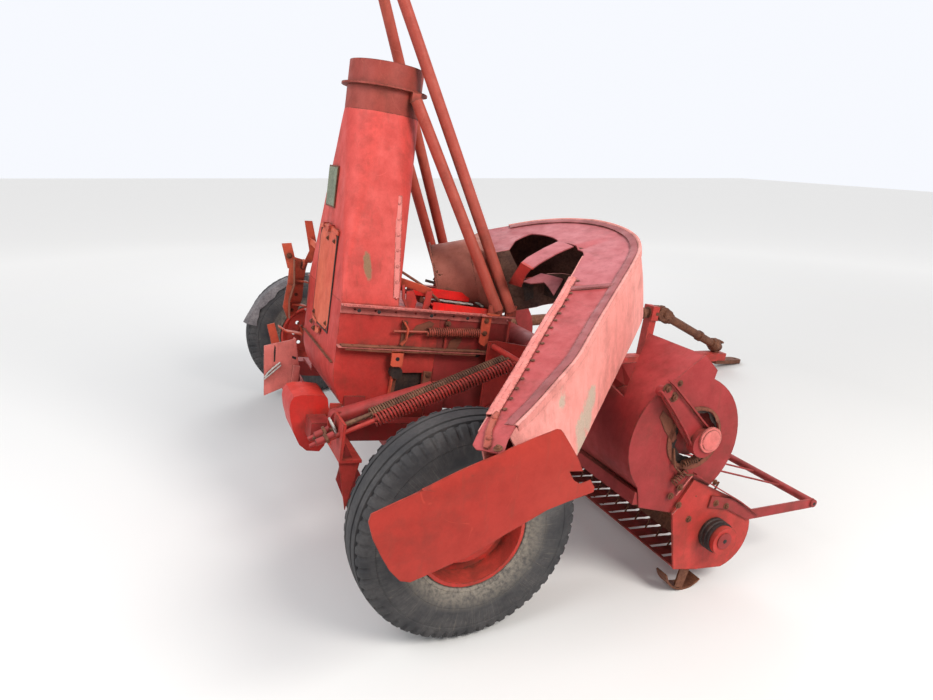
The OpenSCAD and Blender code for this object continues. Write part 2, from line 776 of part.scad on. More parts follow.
module pickup_ends() {
    front = [pickup_at[0] + 35, pickup_at[1] - 7];
    pts = concat([[800, 500], [871, 630], [1120, 535]], arc(front, 160, 60, -70, 12), [[989, 235], [876, 245]]);
    posed() color("firebrick")
        for (s = [-1, 1]) {
            y = s < 0 ? header_near - 3 * plate_t : header_far + plate_t;
            difference() {
                union() {
                    side_plate(pts, y, 2 * plate_t);
                    cross_bar(pickup_at, s < 0 ? y - 70 : y, s < 0 ? y : y + 80, 120);
                }
                cross_bar(pickup_at, s < 0 ? y - 49 : y - 1, s < 0 ? y + 20 : y + 59, 40 + 2 * run_gap);
            }
        }
}

// Bands round the pickup, with gaps for the tines, carried by two cross strips behind it
module stripper_bands() {
    r = stripper_r;
    top = [838, trough[1] - trough_r];
    low = [888, 250];
    outer = concat([top], arc(pickup_at, r, 98, -98, 18), [low]);
    inner = concat([low + [0, 3]], arc(pickup_at, r - 3, -98, 98, 18), [top - [0, 3]]);
    posed() color("firebrick") {
        for (i = [0:band_count - 1])
            side_plate(concat(outer, inner), header_near + i * band_pitch + band_gap / 2, band_pitch - band_gap);
        box([trough[0], header_near, top[1] - plate_t], [top[0] + 1, header_far, top[1]]);
        box([low[0] - 12, header_near - plate_t, low[1] - 2], [low[0] + 1, header_far + plate_t, low[1] + 4]);
    }
}

module pickup_reel() {
    rows = 4;
    posed() color("dimgray") {
        cross_bar(pickup_at, header_near - 64 + run_gap, header_far + 64 - run_gap, 40);
        cross_bar(pickup_at, header_near + 10, header_far - 10, 110);
        for (r = [0:rows - 1])
            translate([pickup_at[0], 0, pickup_at[1]]) rotate([0, r * 90 + 20, 0]) {
                box([40, header_near + 15, -12], [100, header_far - 15, 12]);
                for (i = [1:band_count - 1])
                    rod([90, header_near + i * band_pitch, 0], [tine_r, header_near + i * band_pitch, 0], 8);
            }
    }
}

module windguard() {
    tip = [pickup_at[0] + guard_reach + 30, 500];
    arm = [[970, 510], [1070, 500], [1200, 445], tip + [0, -20], tip + [0, 20], [1205, 488], [1080, 545], [975, 560]];
    posed() color("firebrick") {
        for (y = [header_near - 3 * plate_t - 8, header_far + 3 * plate_t])
            side_plate(arm, y, 8);
        cross_bar(tip, header_near - 3 * plate_t - 12, header_far + 3 * plate_t + 12, 34);
        for (i = [1:10])
            rod([tip[0], header_near + i * header_w / 11, tip[1]],
                [tip[0] - 520, header_near + i * header_w / 11, tip[1] + 110], 8);
    }
}

module skid_shoes() {
    r = 110;
    c = [skid_x, skid_z] + r * [-sin(pitch), cos(pitch)];
    posed() color("dimgray")
        for (y = [[header_near - plate_t, 0], [header_far + plate_t - 60, 52]]) {
            side_plate(concat(arc(c, r, 200, 320, 12), arc(c, r - 8, 320, 200, 12)), y[0], 60);
            side_plate([[skid_x - 60, skid_z + 20], [skid_x - 20, skid_z + 6], [skid_x + 10, 300], [skid_x - 45, 300]],
                y[0] + y[1], 8);
        }
}

// Auger with left and right flighting that feeds towards the throat
module auger() {
    posed() color("brown") {
        cross_bar(auger_at, header_near - plate_t - 40 + run_gap, header_far + plate_t + 40 - run_gap, 40);
        cross_bar(auger_at, header_near + 15, header_far - 15, auger_tube);
        for (part = [[header_near + 20, near_y + 60, -1], [far_y - 60, header_far - 20, 1]]) {
            steps = round((part[1] - part[0]) / auger_pitch * 16);
            translate([auger_at[0], part[0], auger_at[1]]) rotate([-90, 0, 0])
                flighting(part[1] - part[0], part[2], steps);
        }
    }
}

// A flat spiral strip close round the tube as one swept solid
module flighting(l, hand, steps) {
    t = 5;
    turn = 360 * l / auger_pitch;
    r0 = (auger_tube / 2 + run_gap) / cos(turn / steps / 2);
    pts = [for (i = [0:steps]) let (a = hand * turn * i / steps, z = (l - t) * i / steps)
        each [[r0 * cos(a), r0 * sin(a), z], [auger_r * cos(a), auger_r * sin(a), z],
            [auger_r * cos(a), auger_r * sin(a), z + t], [r0 * cos(a), r0 * sin(a), z + t]]];
    sides = [for (i = [0:steps - 1]) for (k = [0:3]) let (a = 4 * i + k, b = 4 * i + (k + 1) % 4)
        each [[a, b, b + 4], [a, b + 4, a + 4]]];
    flip = [for (f = sides) [f[2], f[1], f[0]]];
    ends = [[0, 2, 1], [0, 3, 2], [4 * steps, 4 * steps + 1, 4 * steps + 2], [4 * steps, 4 * steps + 2, 4 * steps + 3]];
    flip_ends = [for (f = ends) [f[2], f[1], f[0]]];
    polyhedron(points = pts, faces = hand > 0 ? concat(sides, ends) : concat(flip, flip_ends));
}

// Laid spout

function bend_depth(t) = base_depth + (leg_depth - base_depth) * t;

// Edges of the square duct set in by a margin, along the bend and its straight foot
function outer_edge(m) = concat(
    [bend_start - (square_l - run_gap) * base_dir + m * base_in],
    [for (i = [0:bend_steps]) let (a = 90 + base_heading - bend_turn * i / bend_steps)
        (bend_r - m) * [cos(a), sin(a)]]);
function inner_edge(m) = concat(
    [bend_start - (square_l - run_gap) * base_dir + (base_depth - m) * base_in],
    [for (i = [0:bend_steps]) let (t = i / bend_steps, a = 90 + base_heading - bend_turn * t)
        (bend_r - bend_depth(t) + m) * [cos(a), sin(a)]]);

// Edges of the straight leg, its outer wall and its inner wall, set in by a margin
function leg_outer(m) = [bend_end + run_gap * leg_dir + m * leg_in, bend_end + leg_l * leg_dir + m * leg_in];
function leg_inner(m) = [bend_end + run_gap * leg_dir + (leg_depth - m) * leg_in,
    bend_end + leg_l * leg_dir + (mouth_depth - m) * leg_in];

function back(list) = [for (i = [len(list) - 1:-1:0]) list[i]];

// A sheet between two edges from z over its thickness
module sheet_between(one, other, z, t) {
    translate([0, 0, z]) linear_extrude(t) polygon(concat(one, back(other)));
}

module base_tube(r, l) {
    c = bend_start + base_depth / 2 * base_in - (square_l + morph_l) * base_dir;
    translate([c[0], c[1], -spout_w / 2]) rotate([0, 0, base_heading]) rotate([0, -90, 0]) cylinder(r = r, h = l);
}

module spout_base() {
    c = bend_start + base_depth / 2 * base_in - (square_l + morph_l) * base_dir;
    module morph(inset, past) {
        hull() {
            translate([c[0], c[1], -spout_w / 2]) rotate([0, 0, base_heading]) {
                translate([run_gap - past, 0, 0]) rotate([0, 90, 0])
                    cylinder(r = base_d / 2 - inset, h = 1 + past, $fn = 48);
                translate([morph_l - 1, -base_depth / 2 + inset, -spout_w / 2 + inset])
                    cube([1 + past, base_depth - 2 * inset, spout_w - 2 * inset]);
            }
        }
    }
    tube_l = base_l - square_l - morph_l;
    laid() color("rosybrown") {
        difference() {
            union() {
                base_tube(base_d / 2, tube_l);
                base_ring();
            }
            translate([0.01 * base_dir[0], 0.01 * base_dir[1], 0]) base_tube(base_d / 2 - spout_t, tube_l + 1);
        }
        difference() {
            morph(0, 0);
            morph(spout_t, 2);
        }
    }
}

module base_ring() {
    c = bend_start + base_depth / 2 * base_in - base_l * base_dir;
    translate([c[0], c[1], -spout_w / 2]) rotate([0, 0, base_heading]) rotate([0, 90, 0]) cylinder(d = base_d + 30, h = 8);
}

// The windows on the inside of the bend
module bend_windows() {
    for (w = [[62, 18], [36, -8]])
        translate([0, 0, -spout_w / 2]) linear_extrude(spout_w)
            polygon(concat([[0, 0]], arc([0, 0], bend_r - 150, w[0], w[1], 6)));
}

// Top and bottom sheets of the bend
module spout_bend() {
    m = spout_t + run_gap;
    laid() color("rosybrown") difference() {
        for (z = [-spout_w, -spout_t])
            sheet_between(outer_edge(m), inner_edge(m), z, spout_t);
        bend_windows();
    }
}

// Outer and inner walls of the bend
module spout_walls() {
    laid() color("rosybrown") difference() {
        union() {
            sheet_between(outer_edge(0), outer_edge(spout_t), -spout_w, spout_w);
            sheet_between(inner_edge(0), inner_edge(spout_t), -spout_w, spout_w);
        }
        bend_windows();
    }
}

// The straight leg's four sheets and the strap that carries the flap
module spout_leg() {
    m = spout_t + run_gap;
    laid() color("rosybrown") {
        sheet_between(leg_outer(0), leg_outer(spout_t), -spout_w, spout_w);
        sheet_between(leg_inner(0), leg_inner(spout_t), -spout_w, spout_w);
        for (z = [-spout_w, -spout_t])
            sheet_between(leg_outer(m), leg_inner(m), z, spout_t);
        difference() {
            translate([0, 0, run_gap]) linear_extrude(4)
                polygon([strap_foot + [-25, 8], strap_foot + [25, 22], flap_pin + [20, -12], flap_pin + [-20, -12]]);
            translate([flap_pin[0], flap_pin[1], -1]) cylinder(d = 12 + 2 * run_gap, h = 10);
        }
    }
}

module spout_flap() {
    laid() color("orangered") translate([flap_pin[0], flap_pin[1], 0]) {
        translate([-flap_l * 0.58, -12, -flap_h - 1]) cube([flap_l, 4, flap_h]);
        translate([0, 0, -flap_h * 0.7]) cylinder(d = 12, h = flap_h * 0.7 + 12);
        translate([-8, -12, -flap_h * 0.7]) cube([16, 12, flap_h * 0.7 - 8]);
    }
}

axle_beam();
main_frame();
drawbar();
hitch_tongue();
driveline_post();
power_shaft();
chopper_housing();
top_rails();
feed_housing();
spout_rest();
drive_case();
rear_guard();
tilted_cover();
chute();
chute_collar();
collar_braces();
spout_mast();
spring_bracket();
lift_springs();
tension_spring();
spout_base();
spout_bend();
spout_walls();
spout_leg();
chute_door();
spout_flap();
chopping_drum();
feed_roll_upper();
feed_roll_lower();
header_throat();
header_trough();
header_ends();
bearing_arms();
pickup_ends();
stripper_bands();
windguard();
skid_shoes();
auger();
pickup_reel();
lift_barrel();
lift_rod();
color("dimgray") tyre(1);  // tyre_left
color("firebrick") rim(1);  // rim_left
color("dimgray") tyre(-1);  // tyre_right
color("firebrick") rim(-1);  // rim_right
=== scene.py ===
"""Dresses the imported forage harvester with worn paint, rust, rubber, springs, bolts and bent sheet."""

import json
import math
from collections import defaultdict

import bmesh
import bpy
from bpy.props import FloatProperty, FloatVectorProperty, IntProperty, PointerProperty
from mathutils import Matrix, Vector, noise


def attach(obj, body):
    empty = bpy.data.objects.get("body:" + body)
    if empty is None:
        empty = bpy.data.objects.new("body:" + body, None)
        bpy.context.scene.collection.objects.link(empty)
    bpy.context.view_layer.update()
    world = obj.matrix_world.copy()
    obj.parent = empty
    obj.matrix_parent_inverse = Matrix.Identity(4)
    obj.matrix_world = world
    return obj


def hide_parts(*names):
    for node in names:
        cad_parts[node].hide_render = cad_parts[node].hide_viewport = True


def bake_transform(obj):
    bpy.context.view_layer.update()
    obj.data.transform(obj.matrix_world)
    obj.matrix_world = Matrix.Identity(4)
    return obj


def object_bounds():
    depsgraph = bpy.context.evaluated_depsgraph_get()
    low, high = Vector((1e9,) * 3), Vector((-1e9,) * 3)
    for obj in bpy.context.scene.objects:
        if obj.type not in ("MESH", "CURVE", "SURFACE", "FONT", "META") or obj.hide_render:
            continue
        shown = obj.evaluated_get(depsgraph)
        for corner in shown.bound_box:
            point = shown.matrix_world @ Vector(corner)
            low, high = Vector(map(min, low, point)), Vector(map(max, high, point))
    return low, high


bl_info = {
    "name": "Forage Harvester Dressing",
    "version": (1, 0, 0),
    "blender": (4, 5, 0),
    "location": "View3D > Sidebar > Harvester",
    "description": "Builds the worn finish and the fine pieces of a parked forage harvester",
    "category": "Object",
}

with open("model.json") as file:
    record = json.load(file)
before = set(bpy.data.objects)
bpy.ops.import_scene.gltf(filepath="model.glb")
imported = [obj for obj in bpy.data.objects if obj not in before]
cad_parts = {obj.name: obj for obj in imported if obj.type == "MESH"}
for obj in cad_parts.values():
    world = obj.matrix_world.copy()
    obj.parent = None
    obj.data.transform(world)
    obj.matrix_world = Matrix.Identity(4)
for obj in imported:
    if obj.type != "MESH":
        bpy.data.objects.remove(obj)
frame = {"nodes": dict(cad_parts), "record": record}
NODES = frame["nodes"]
CAD_BOX = [list(corner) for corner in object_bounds()]
# The dents come out the same each run only with a fixed seed
noise.seed_set(23)

# The part's own placing: its level drawing is tipped nose down about the wheels and centred
TIP = math.radians(8.37823)
MID = Vector((1.47111, -0.208635, 0.0))
WHEEL_R = 0.42
SPOUT_AT = Vector((0.589, -0.746, 1.256))
SPOUT_SLOPE = math.radians(15.5)
SPOUT_TURN = math.radians(25.6)
HALF_TRACK = 1.375

# The photograph's camera, from a fit to the near wheel and the ground, and the stage round it
CAMERA_AT = (-2.368, -3.201, 1.72)
CAMERA_TURN = tuple(math.radians(angle) for angle in (23.8, 16.5, 1.2))
# Width of the sensor in millimetres, focal length and width of the photograph in its own pixels
SENSOR, FOCAL_PX, PHOTO_WIDTH = 36, 700, 933
FLOOR_HALF = 30
# Name, place, width, share of the lamp setting and colour
LAMPS = (("main_lamp", (1.2, -6.0, 5.2), 3.0, 1.0, (1.0, 0.97, 0.93)),
         ("fill_lamp", (-5.5, -1.5, 4.5), 4.0, 0.4, (0.95, 0.97, 1.0)),
         ("back_lamp", (1.0, 6.0, 5.0), 4.0, 0.3, (0.95, 0.97, 1.0)))
LAMP_AIM = Vector((-0.4, -0.3, 0.7))
SKY = (0.93, 0.95, 1.0, 1)

# Dents: waves over a metre, and how much finer the small ones are
DENT_PITCH, DENT_FINER = 3.6, 2.7
# How near the door's pin sheet stays true, and over what distance the dents set in
PIN_TRUE, PIN_FADE = 0.02, 0.03
# How near to each other points are joined, and from what angle on an edge is rounded
WELD = 1e-5
SHARP = math.radians(40)

LEVEL = (Matrix.Translation(Vector((0, 0, WHEEL_R)) - MID) @ Matrix.Rotation(TIP, 4, "Y")
         @ Matrix.Translation((0, 0, -WHEEL_R)))
LAID = (Matrix.Translation(SPOUT_AT - MID) @ Matrix.Rotation(SPOUT_TURN, 4, "Z")
        @ Matrix.Rotation(-SPOUT_SLOPE, 4, "Y") @ Matrix.Rotation(-SPOUT_TURN, 4, "Z"))
SPOUT_UP = LAID.to_3x3() @ Vector((0, 0, 1))


def ink(red, green, blue):
    """A screen colour from 0 to 255 as the linear colour that a shader takes."""
    def linear(c):
        c /= 255
        return c / 12.92 if c <= 0.04045 else ((c + 0.055) / 1.055) ** 2.4
    return tuple(linear(c) for c in (red, green, blue))


def level(x, y, z):
    """A point of the level drawing, in millimetres, on the parked machine in metres."""
    return LEVEL @ Vector((x / 1000, y / 1000, z / 1000))


def laid(x, y, z):
    """A point of the spout's own drawing, in millimetres, on the parked machine in metres."""
    return LAID @ Vector((x / 1000, y / 1000, z / 1000))


def hub_of(sign):
    """The middle of the left wheel, with sign 1, or of the right one, with sign -1."""
    return Vector((0, sign * HALF_TRACK, WHEEL_R)) - MID


# Settings

class PaintSettings(bpy.types.PropertyGroup):
    # The housings' red is darker than the chute's: partly their own paint, partly painted shade on the lower
    # housing
    red: FloatVectorProperty(name="Red", description="Paint of the chute and housings", subtype="COLOR",
                             size=3, min=0, max=1, default=ink(180, 42, 36))
    deep: FloatVectorProperty(name="Deep red", description="Paint of the header and frame", subtype="COLOR",
                              size=3, min=0, max=1, default=ink(152, 36, 36))
    orange: FloatVectorProperty(name="Orange red", description="Repainted door, guard and brackets",
                                subtype="COLOR", size=3, min=0, max=1, default=ink(206, 78, 54))
    # The mauve is partly the upper sheets' faded paint and partly a painted reflection of the sky on them
    mauve: FloatVectorProperty(name="Mauve", description="Dull paint on the spout's upper sheets",
                               subtype="COLOR", size=3, min=0, max=1, default=ink(176, 80, 84))
    pale: FloatVectorProperty(name="Chalky pink", description="Sun-bleached paint of the spout's walls",
                              subtype="COLOR", size=3, min=0, max=1, default=ink(222, 134, 124))
    rust: FloatVectorProperty(name="Rust", description="Rust on chips and bare steel", subtype="COLOR",
                              size=3, min=0, max=1, default=ink(96, 54, 36))
    wear: FloatProperty(name="Wear", description="How much paint is chipped off", subtype="FACTOR",
                        min=0, max=1, default=0.5)


class SheetSettings(bpy.types.PropertyGroup):
    cell: FloatProperty(name="Cell", description="Spacing of the cuts that let a sheet bend", unit="LENGTH",
                        min=0.01, max=0.2, default=0.045)
    dent: FloatProperty(name="Dent", description="Depth of the dents in sheet", unit="LENGTH",
                        min=0, max=0.008, default=0.0028)
    edge: FloatProperty(name="Edge", description="Rounding of a sheet's edges", unit="LENGTH",
                        min=0.0003, max=0.004, default=0.0014)


class TyreSettings(bpy.types.PropertyGroup):
    cuts: IntProperty(name="Cuts", description="Number of cuts round each shoulder",
                      min=20, max=120, default=58)
    cut_depth: FloatProperty(name="Cut depth", description="Depth of a shoulder cut", unit="LENGTH",
                             min=0.001, max=0.015, default=0.007)


class StageSettings(bpy.types.PropertyGroup):
    lamp: FloatProperty(name="Lamp", description="Power of the soft main lamp", unit="POWER",
                        min=10, max=2000, default=480)
    floor: FloatVectorProperty(name="Floor", description="Colour of the floor", subtype="COLOR",
                               size=3, min=0, max=1, default=(0.78, 0.77, 0.75))


def settings(name):
    return getattr(bpy.context.scene, "harvester_" + name)


# Materials

def rgba(colour):
    return (*colour[:3], 1.0)


def tinted(colour, k):
    return tuple(min(1.0, c * k) for c in colour)


def blended(a, b, t):
    return tuple(x + (y - x) * t for x, y in zip(a, b))


class Nodes:
    """Writes the shader nodes of one tree."""

    def __init__(self, tree):
        self.tree = tree

    def add(self, kind, inputs=None, **options):
        """Adds one node, sets its options and links or fills its inputs."""
        node = self.tree.nodes.new("ShaderNode" + kind)
        for key, value in options.items():
            setattr(node, key, value)
        for key, value in (inputs or {}).items():
            if isinstance(value, bpy.types.NodeSocket):
                self.tree.links.new(value, node.inputs[key])
            else:
                node.inputs[key].default_value = value
        return node

    def mix(self, factor, a, b):
        a, b = (v if isinstance(v, bpy.types.NodeSocket) else rgba(v) for v in (a, b))
        return self.add("Mix", {0: factor, 6: a, 7: b}, data_type="RGBA").outputs[2]

    def calc(self, operation, a, b=0.0, clamp=False):
        return self.add("Math", {0: a, 1: b}, operation=operation, use_clamp=clamp).outputs[0]

    def plus(self, a, b, clamp=False):
        return self.calc("ADD", a, b, clamp)

    def minus(self, a, b, clamp=False):
        return self.calc("SUBTRACT", a, b, clamp)

    def times(self, a, b):
        return self.calc("MULTIPLY", a, b)

    def most(self, a, b):
        return self.calc("MAXIMUM", a, b)

    def vector(self, operation, *values):
        return self.add("VectorMath", dict(enumerate(values)), operation=operation).outputs

    def band(self, value, low, high, to_low=0.0, to_high=1.0):
        return self.add("MapRange", {0: value, 1: low, 2: high, 3: to_low, 4: to_high}).outputs[0]

    def speckle(self, scale, detail=3.0, rough=0.55, stretch=None):
        place = self.place
        if stretch:
            place = self.add("Mapping", {"Vector": place, "Scale": stretch}).outputs[0]
        inputs = {"Vector": place, "Scale": scale, "Detail": detail, "Roughness": rough}
        return self.add("TexNoise", inputs).outputs[0]

    def stain(self, ragged, centre, reach):
        """How much of a stain lies at a place: one at its centre, none past its reach."""
        away = self.vector("SUBTRACT", self.place, tuple(centre))[0]
        away = self.vector("DIVIDE", away, tuple(reach))[0]
        away = self.vector("LENGTH", away)["Value"]
        return self.band(self.plus(away, self.band(ragged, 0.3, 0.7, -0.55, 0.55)), 1.0, 0.6)

    def coat(self, colour, rough, bump, relief, sockets):
        """Links the shader's colour, roughness and bump, and sets its plain sockets."""
        strength, distance = bump
        bumped = self.add("Bump", {"Strength": strength, "Distance": distance, "Height": relief})
        for name, value in (("Base Color", colour), ("Roughness", rough), ("Normal", bumped.outputs[0])):
            self.tree.links.new(value, self.shader.inputs[name])
        for name, value in sockets.items():
            self.shader.inputs[name].default_value = value
        return self.material


def new_material(name):
    material = bpy.data.materials.new(name)
    material.use_nodes = True
    n = Nodes(material.node_tree)
    n.material, n.shader = material, n.tree.nodes["Principled BSDF"]
    n.place = n.add("TexCoord").outputs["Object"]
    return n


def worn_paint(name, colour, faded, dust=0.35, chips=1.0, gloss=0.5, fade=1.0, stains=()):
    """Old field paint: lighter on upward faces, partly sun bleaching and partly a painted reflection of the
    sky; scratched, chipped to rust along edges; darker towards the bottom, with dust and painted shade in
    corners.
    """
    n = new_material(name)
    rust = settings("paint").rust
    wear = settings("paint").wear * chips
    surface = n.add("NewGeometry").outputs
    up = n.add("SeparateXYZ", {0: surface["Normal"]}).outputs[2]
    patches = n.speckle(2.3, 4.0)
    mottled = n.speckle(17.0, 5.0, 0.6)
    grain = n.speckle(160.0, 2.0)
    # Upward faces are lighter: partly sun bleaching, partly a painted reflection of the sky; fade scales
    # both, and random patches fade too
    fade_and_sky_sheen = n.band(up, 0.0, 0.95, 0.0, 0.5 * fade)
    fade_and_sky_sheen = n.plus(fade_and_sky_sheen, n.band(patches, 0.42, 0.7, 0.0, 0.5 * fade), True)
    paint = n.mix(fade_and_sky_sheen, colour, faded)
    paint = n.mix(n.band(mottled, 0.38, 0.7, 0.0, 0.5), paint, tinted(colour, 0.66))
    paint = n.mix(n.band(grain, 0.3, 0.75, 0.0, 0.14), paint, tinted(faded, 1.12))
    # Grime in wide clouds, then streaks where rain ran down
    grime = n.band(n.speckle(5.2, 6.0, 0.72), 0.52, 0.74, 0.0, 0.62)
    paint = n.mix(grime, paint, blended(tinted(colour, 0.42), rust, 0.35))
    streak = n.band(n.speckle(9.0, 4.0, 0.6, (5.0, 5.0, 0.5)), 0.56, 0.76, 0.0, 0.5)
    paint = n.mix(streak, paint, blended(colour, rust, 0.6))
    # Hairline scratches along the level lines of a slow noise
    slow = n.speckle(3.4, 1.5, 0.4, (1.0, 1.6, 0.7))
    hair = n.band(n.calc("ABSOLUTE", n.minus(slow, 0.56)), 0.0011, 0.0003)
    hair = n.times(hair, n.band(mottled, 0.5, 0.56))
    paint = n.mix(n.times(hair, 0.45), paint, tinted(faded, 1.2))
    # Chips: rare on a face, dense along edges, with a pale rim where the coat lifts
    rounded = n.add("Bevel", {0: 0.008}, samples=4).outputs[0]
    edge = n.band(n.vector("DOT_PRODUCT", rounded, surface["Normal"])["Value"], 0.995, 0.86)
    flakes = n.speckle(46.0, 6.0, 0.7)
    spots = n.speckle(11.0, 6.0, 0.75)
    chip = n.times(n.band(flakes, 0.44, 0.52), n.times(edge, min(1.0, wear * 1.6)))
    bare_from = 0.77 - 0.12 * wear
    loose = n.band(spots, bare_from, bare_from + 0.02)
    chip = n.most(chip, loose)
    rim = n.minus(n.band(spots, bare_from - 0.015, bare_from), loose, True)
    paint = n.mix(n.times(rim, 0.5), paint, tinted(faded, 1.2))
    bare = n.mix(n.band(mottled, 0.4, 0.6), rust, tinted(rust, 0.45))
    paint = n.mix(chip, paint, bare)
    # Darker brown towards the bottom, by the dust setting, and in corners found by ambient occlusion, which
    # is partly dust and partly painted shade
    height = n.add("SeparateXYZ", {0: surface["Position"]}).outputs[2]
    low = n.band(height, 0.9, 0.1, 0.0, dust)
    shade = n.add("AmbientOcclusion", {"Distance": 0.08}, samples=3).outputs["AO"]
    corner = n.band(shade, 0.8, 0.3, 0.0, 0.8)
    dust_and_shade = n.times(n.most(low, corner), n.band(mottled, 0.3, 0.6))
    paint = n.mix(dust_and_shade, paint, ink(88, 58, 44))
    for centre, reach, tone in stains:
        mask = n.stain(spots, centre, reach)
        mud = n.mix(grain, tinted(tone, 0.7), tinted(tone, 1.25))
        paint = n.mix(n.times(mask, 0.9), paint, mud)
        dust_and_shade = n.most(dust_and_shade, mask)
    rough = n.most(n.band(mottled, 0.3, 0.7, gloss, gloss + 0.18), n.times(n.most(chip, dust_and_shade), 0.88))
    relief = n.minus(n.times(grain, 0.18), n.times(chip, 0.6))
    relief = n.plus(relief, n.times(mottled, 0.5))
    return n.coat(paint, rough, (0.35, 0.0016), relief, {"Specular IOR Level": 0.35})


def rusty_steel(name, colour, pale, metal=0.35):
    """Bare steel that has rusted, brown with darker pits and paler rubbed spots."""
    n = new_material(name)
    coarse = n.speckle(12.0, 6.0, 0.65)
    fine = n.speckle(90.0, 5.0, 0.65)
    steel = n.mix(n.band(coarse, 0.35, 0.65), colour, pale)
    steel = n.mix(n.band(fine, 0.42, 0.66, 0.0, 0.6), steel, tinted(colour, 0.5))
    return n.coat(steel, n.band(fine, 0.3, 0.7, 0.5, 0.85), (0.5, 0.0012), fine, {"Metallic": metal})


def old_rubber(name):
    """Weathered tyre rubber, grey with dust, cracked round the sidewall."""
    n = new_material(name)
    x, y, z = n.add("SeparateXYZ", {0: n.place}).outputs
    radius = n.calc("SQRT", n.plus(n.calc("POWER", x, 2.0), n.calc("POWER", z, 2.0)))
    turn = n.calc("ARCTAN2", x, z)
    unrolled = {0: n.times(turn, 9.0), 1: y, 2: n.times(radius, 1.6)}
    cells = {"Vector": n.add("CombineXYZ", unrolled).outputs[0], "Scale": 2.6, "Randomness": 1.0}
    crack = n.add("TexVoronoi", cells, feature="DISTANCE_TO_EDGE").outputs["Distance"]
    cloud = n.speckle(5.0, 5.0, 0.6)
    fine = n.speckle(70.0, 4.0, 0.6)
    wall = n.band(radius, 0.375, 0.35)
    split = n.times(n.times(n.band(crack, 0.035, 0.0), wall), n.band(cloud, 0.42, 0.6))
    rubber = n.mix(n.band(cloud, 0.35, 0.68), ink(42, 42, 45), ink(86, 83, 82))
    rubber = n.mix(n.band(fine, 0.4, 0.7, 0.0, 0.35), rubber, ink(30, 30, 31))
    rubber = n.mix(n.times(split, 0.55), rubber, ink(120, 112, 102))
    dusty = n.times(n.band(radius, 0.29, 0.22), n.band(fine, 0.35, 0.6, 0.2, 0.75))
    rubber = n.mix(dusty, rubber, ink(150, 140, 126))
    relief = n.minus(n.times(fine, 0.3), split)
    rough = n.band(cloud, 0.3, 0.7, 0.62, 0.9)
    return n.coat(rubber, rough, (0.6, 0.002), relief, {"Specular IOR Level": 0.3})


MATERIALS = {}


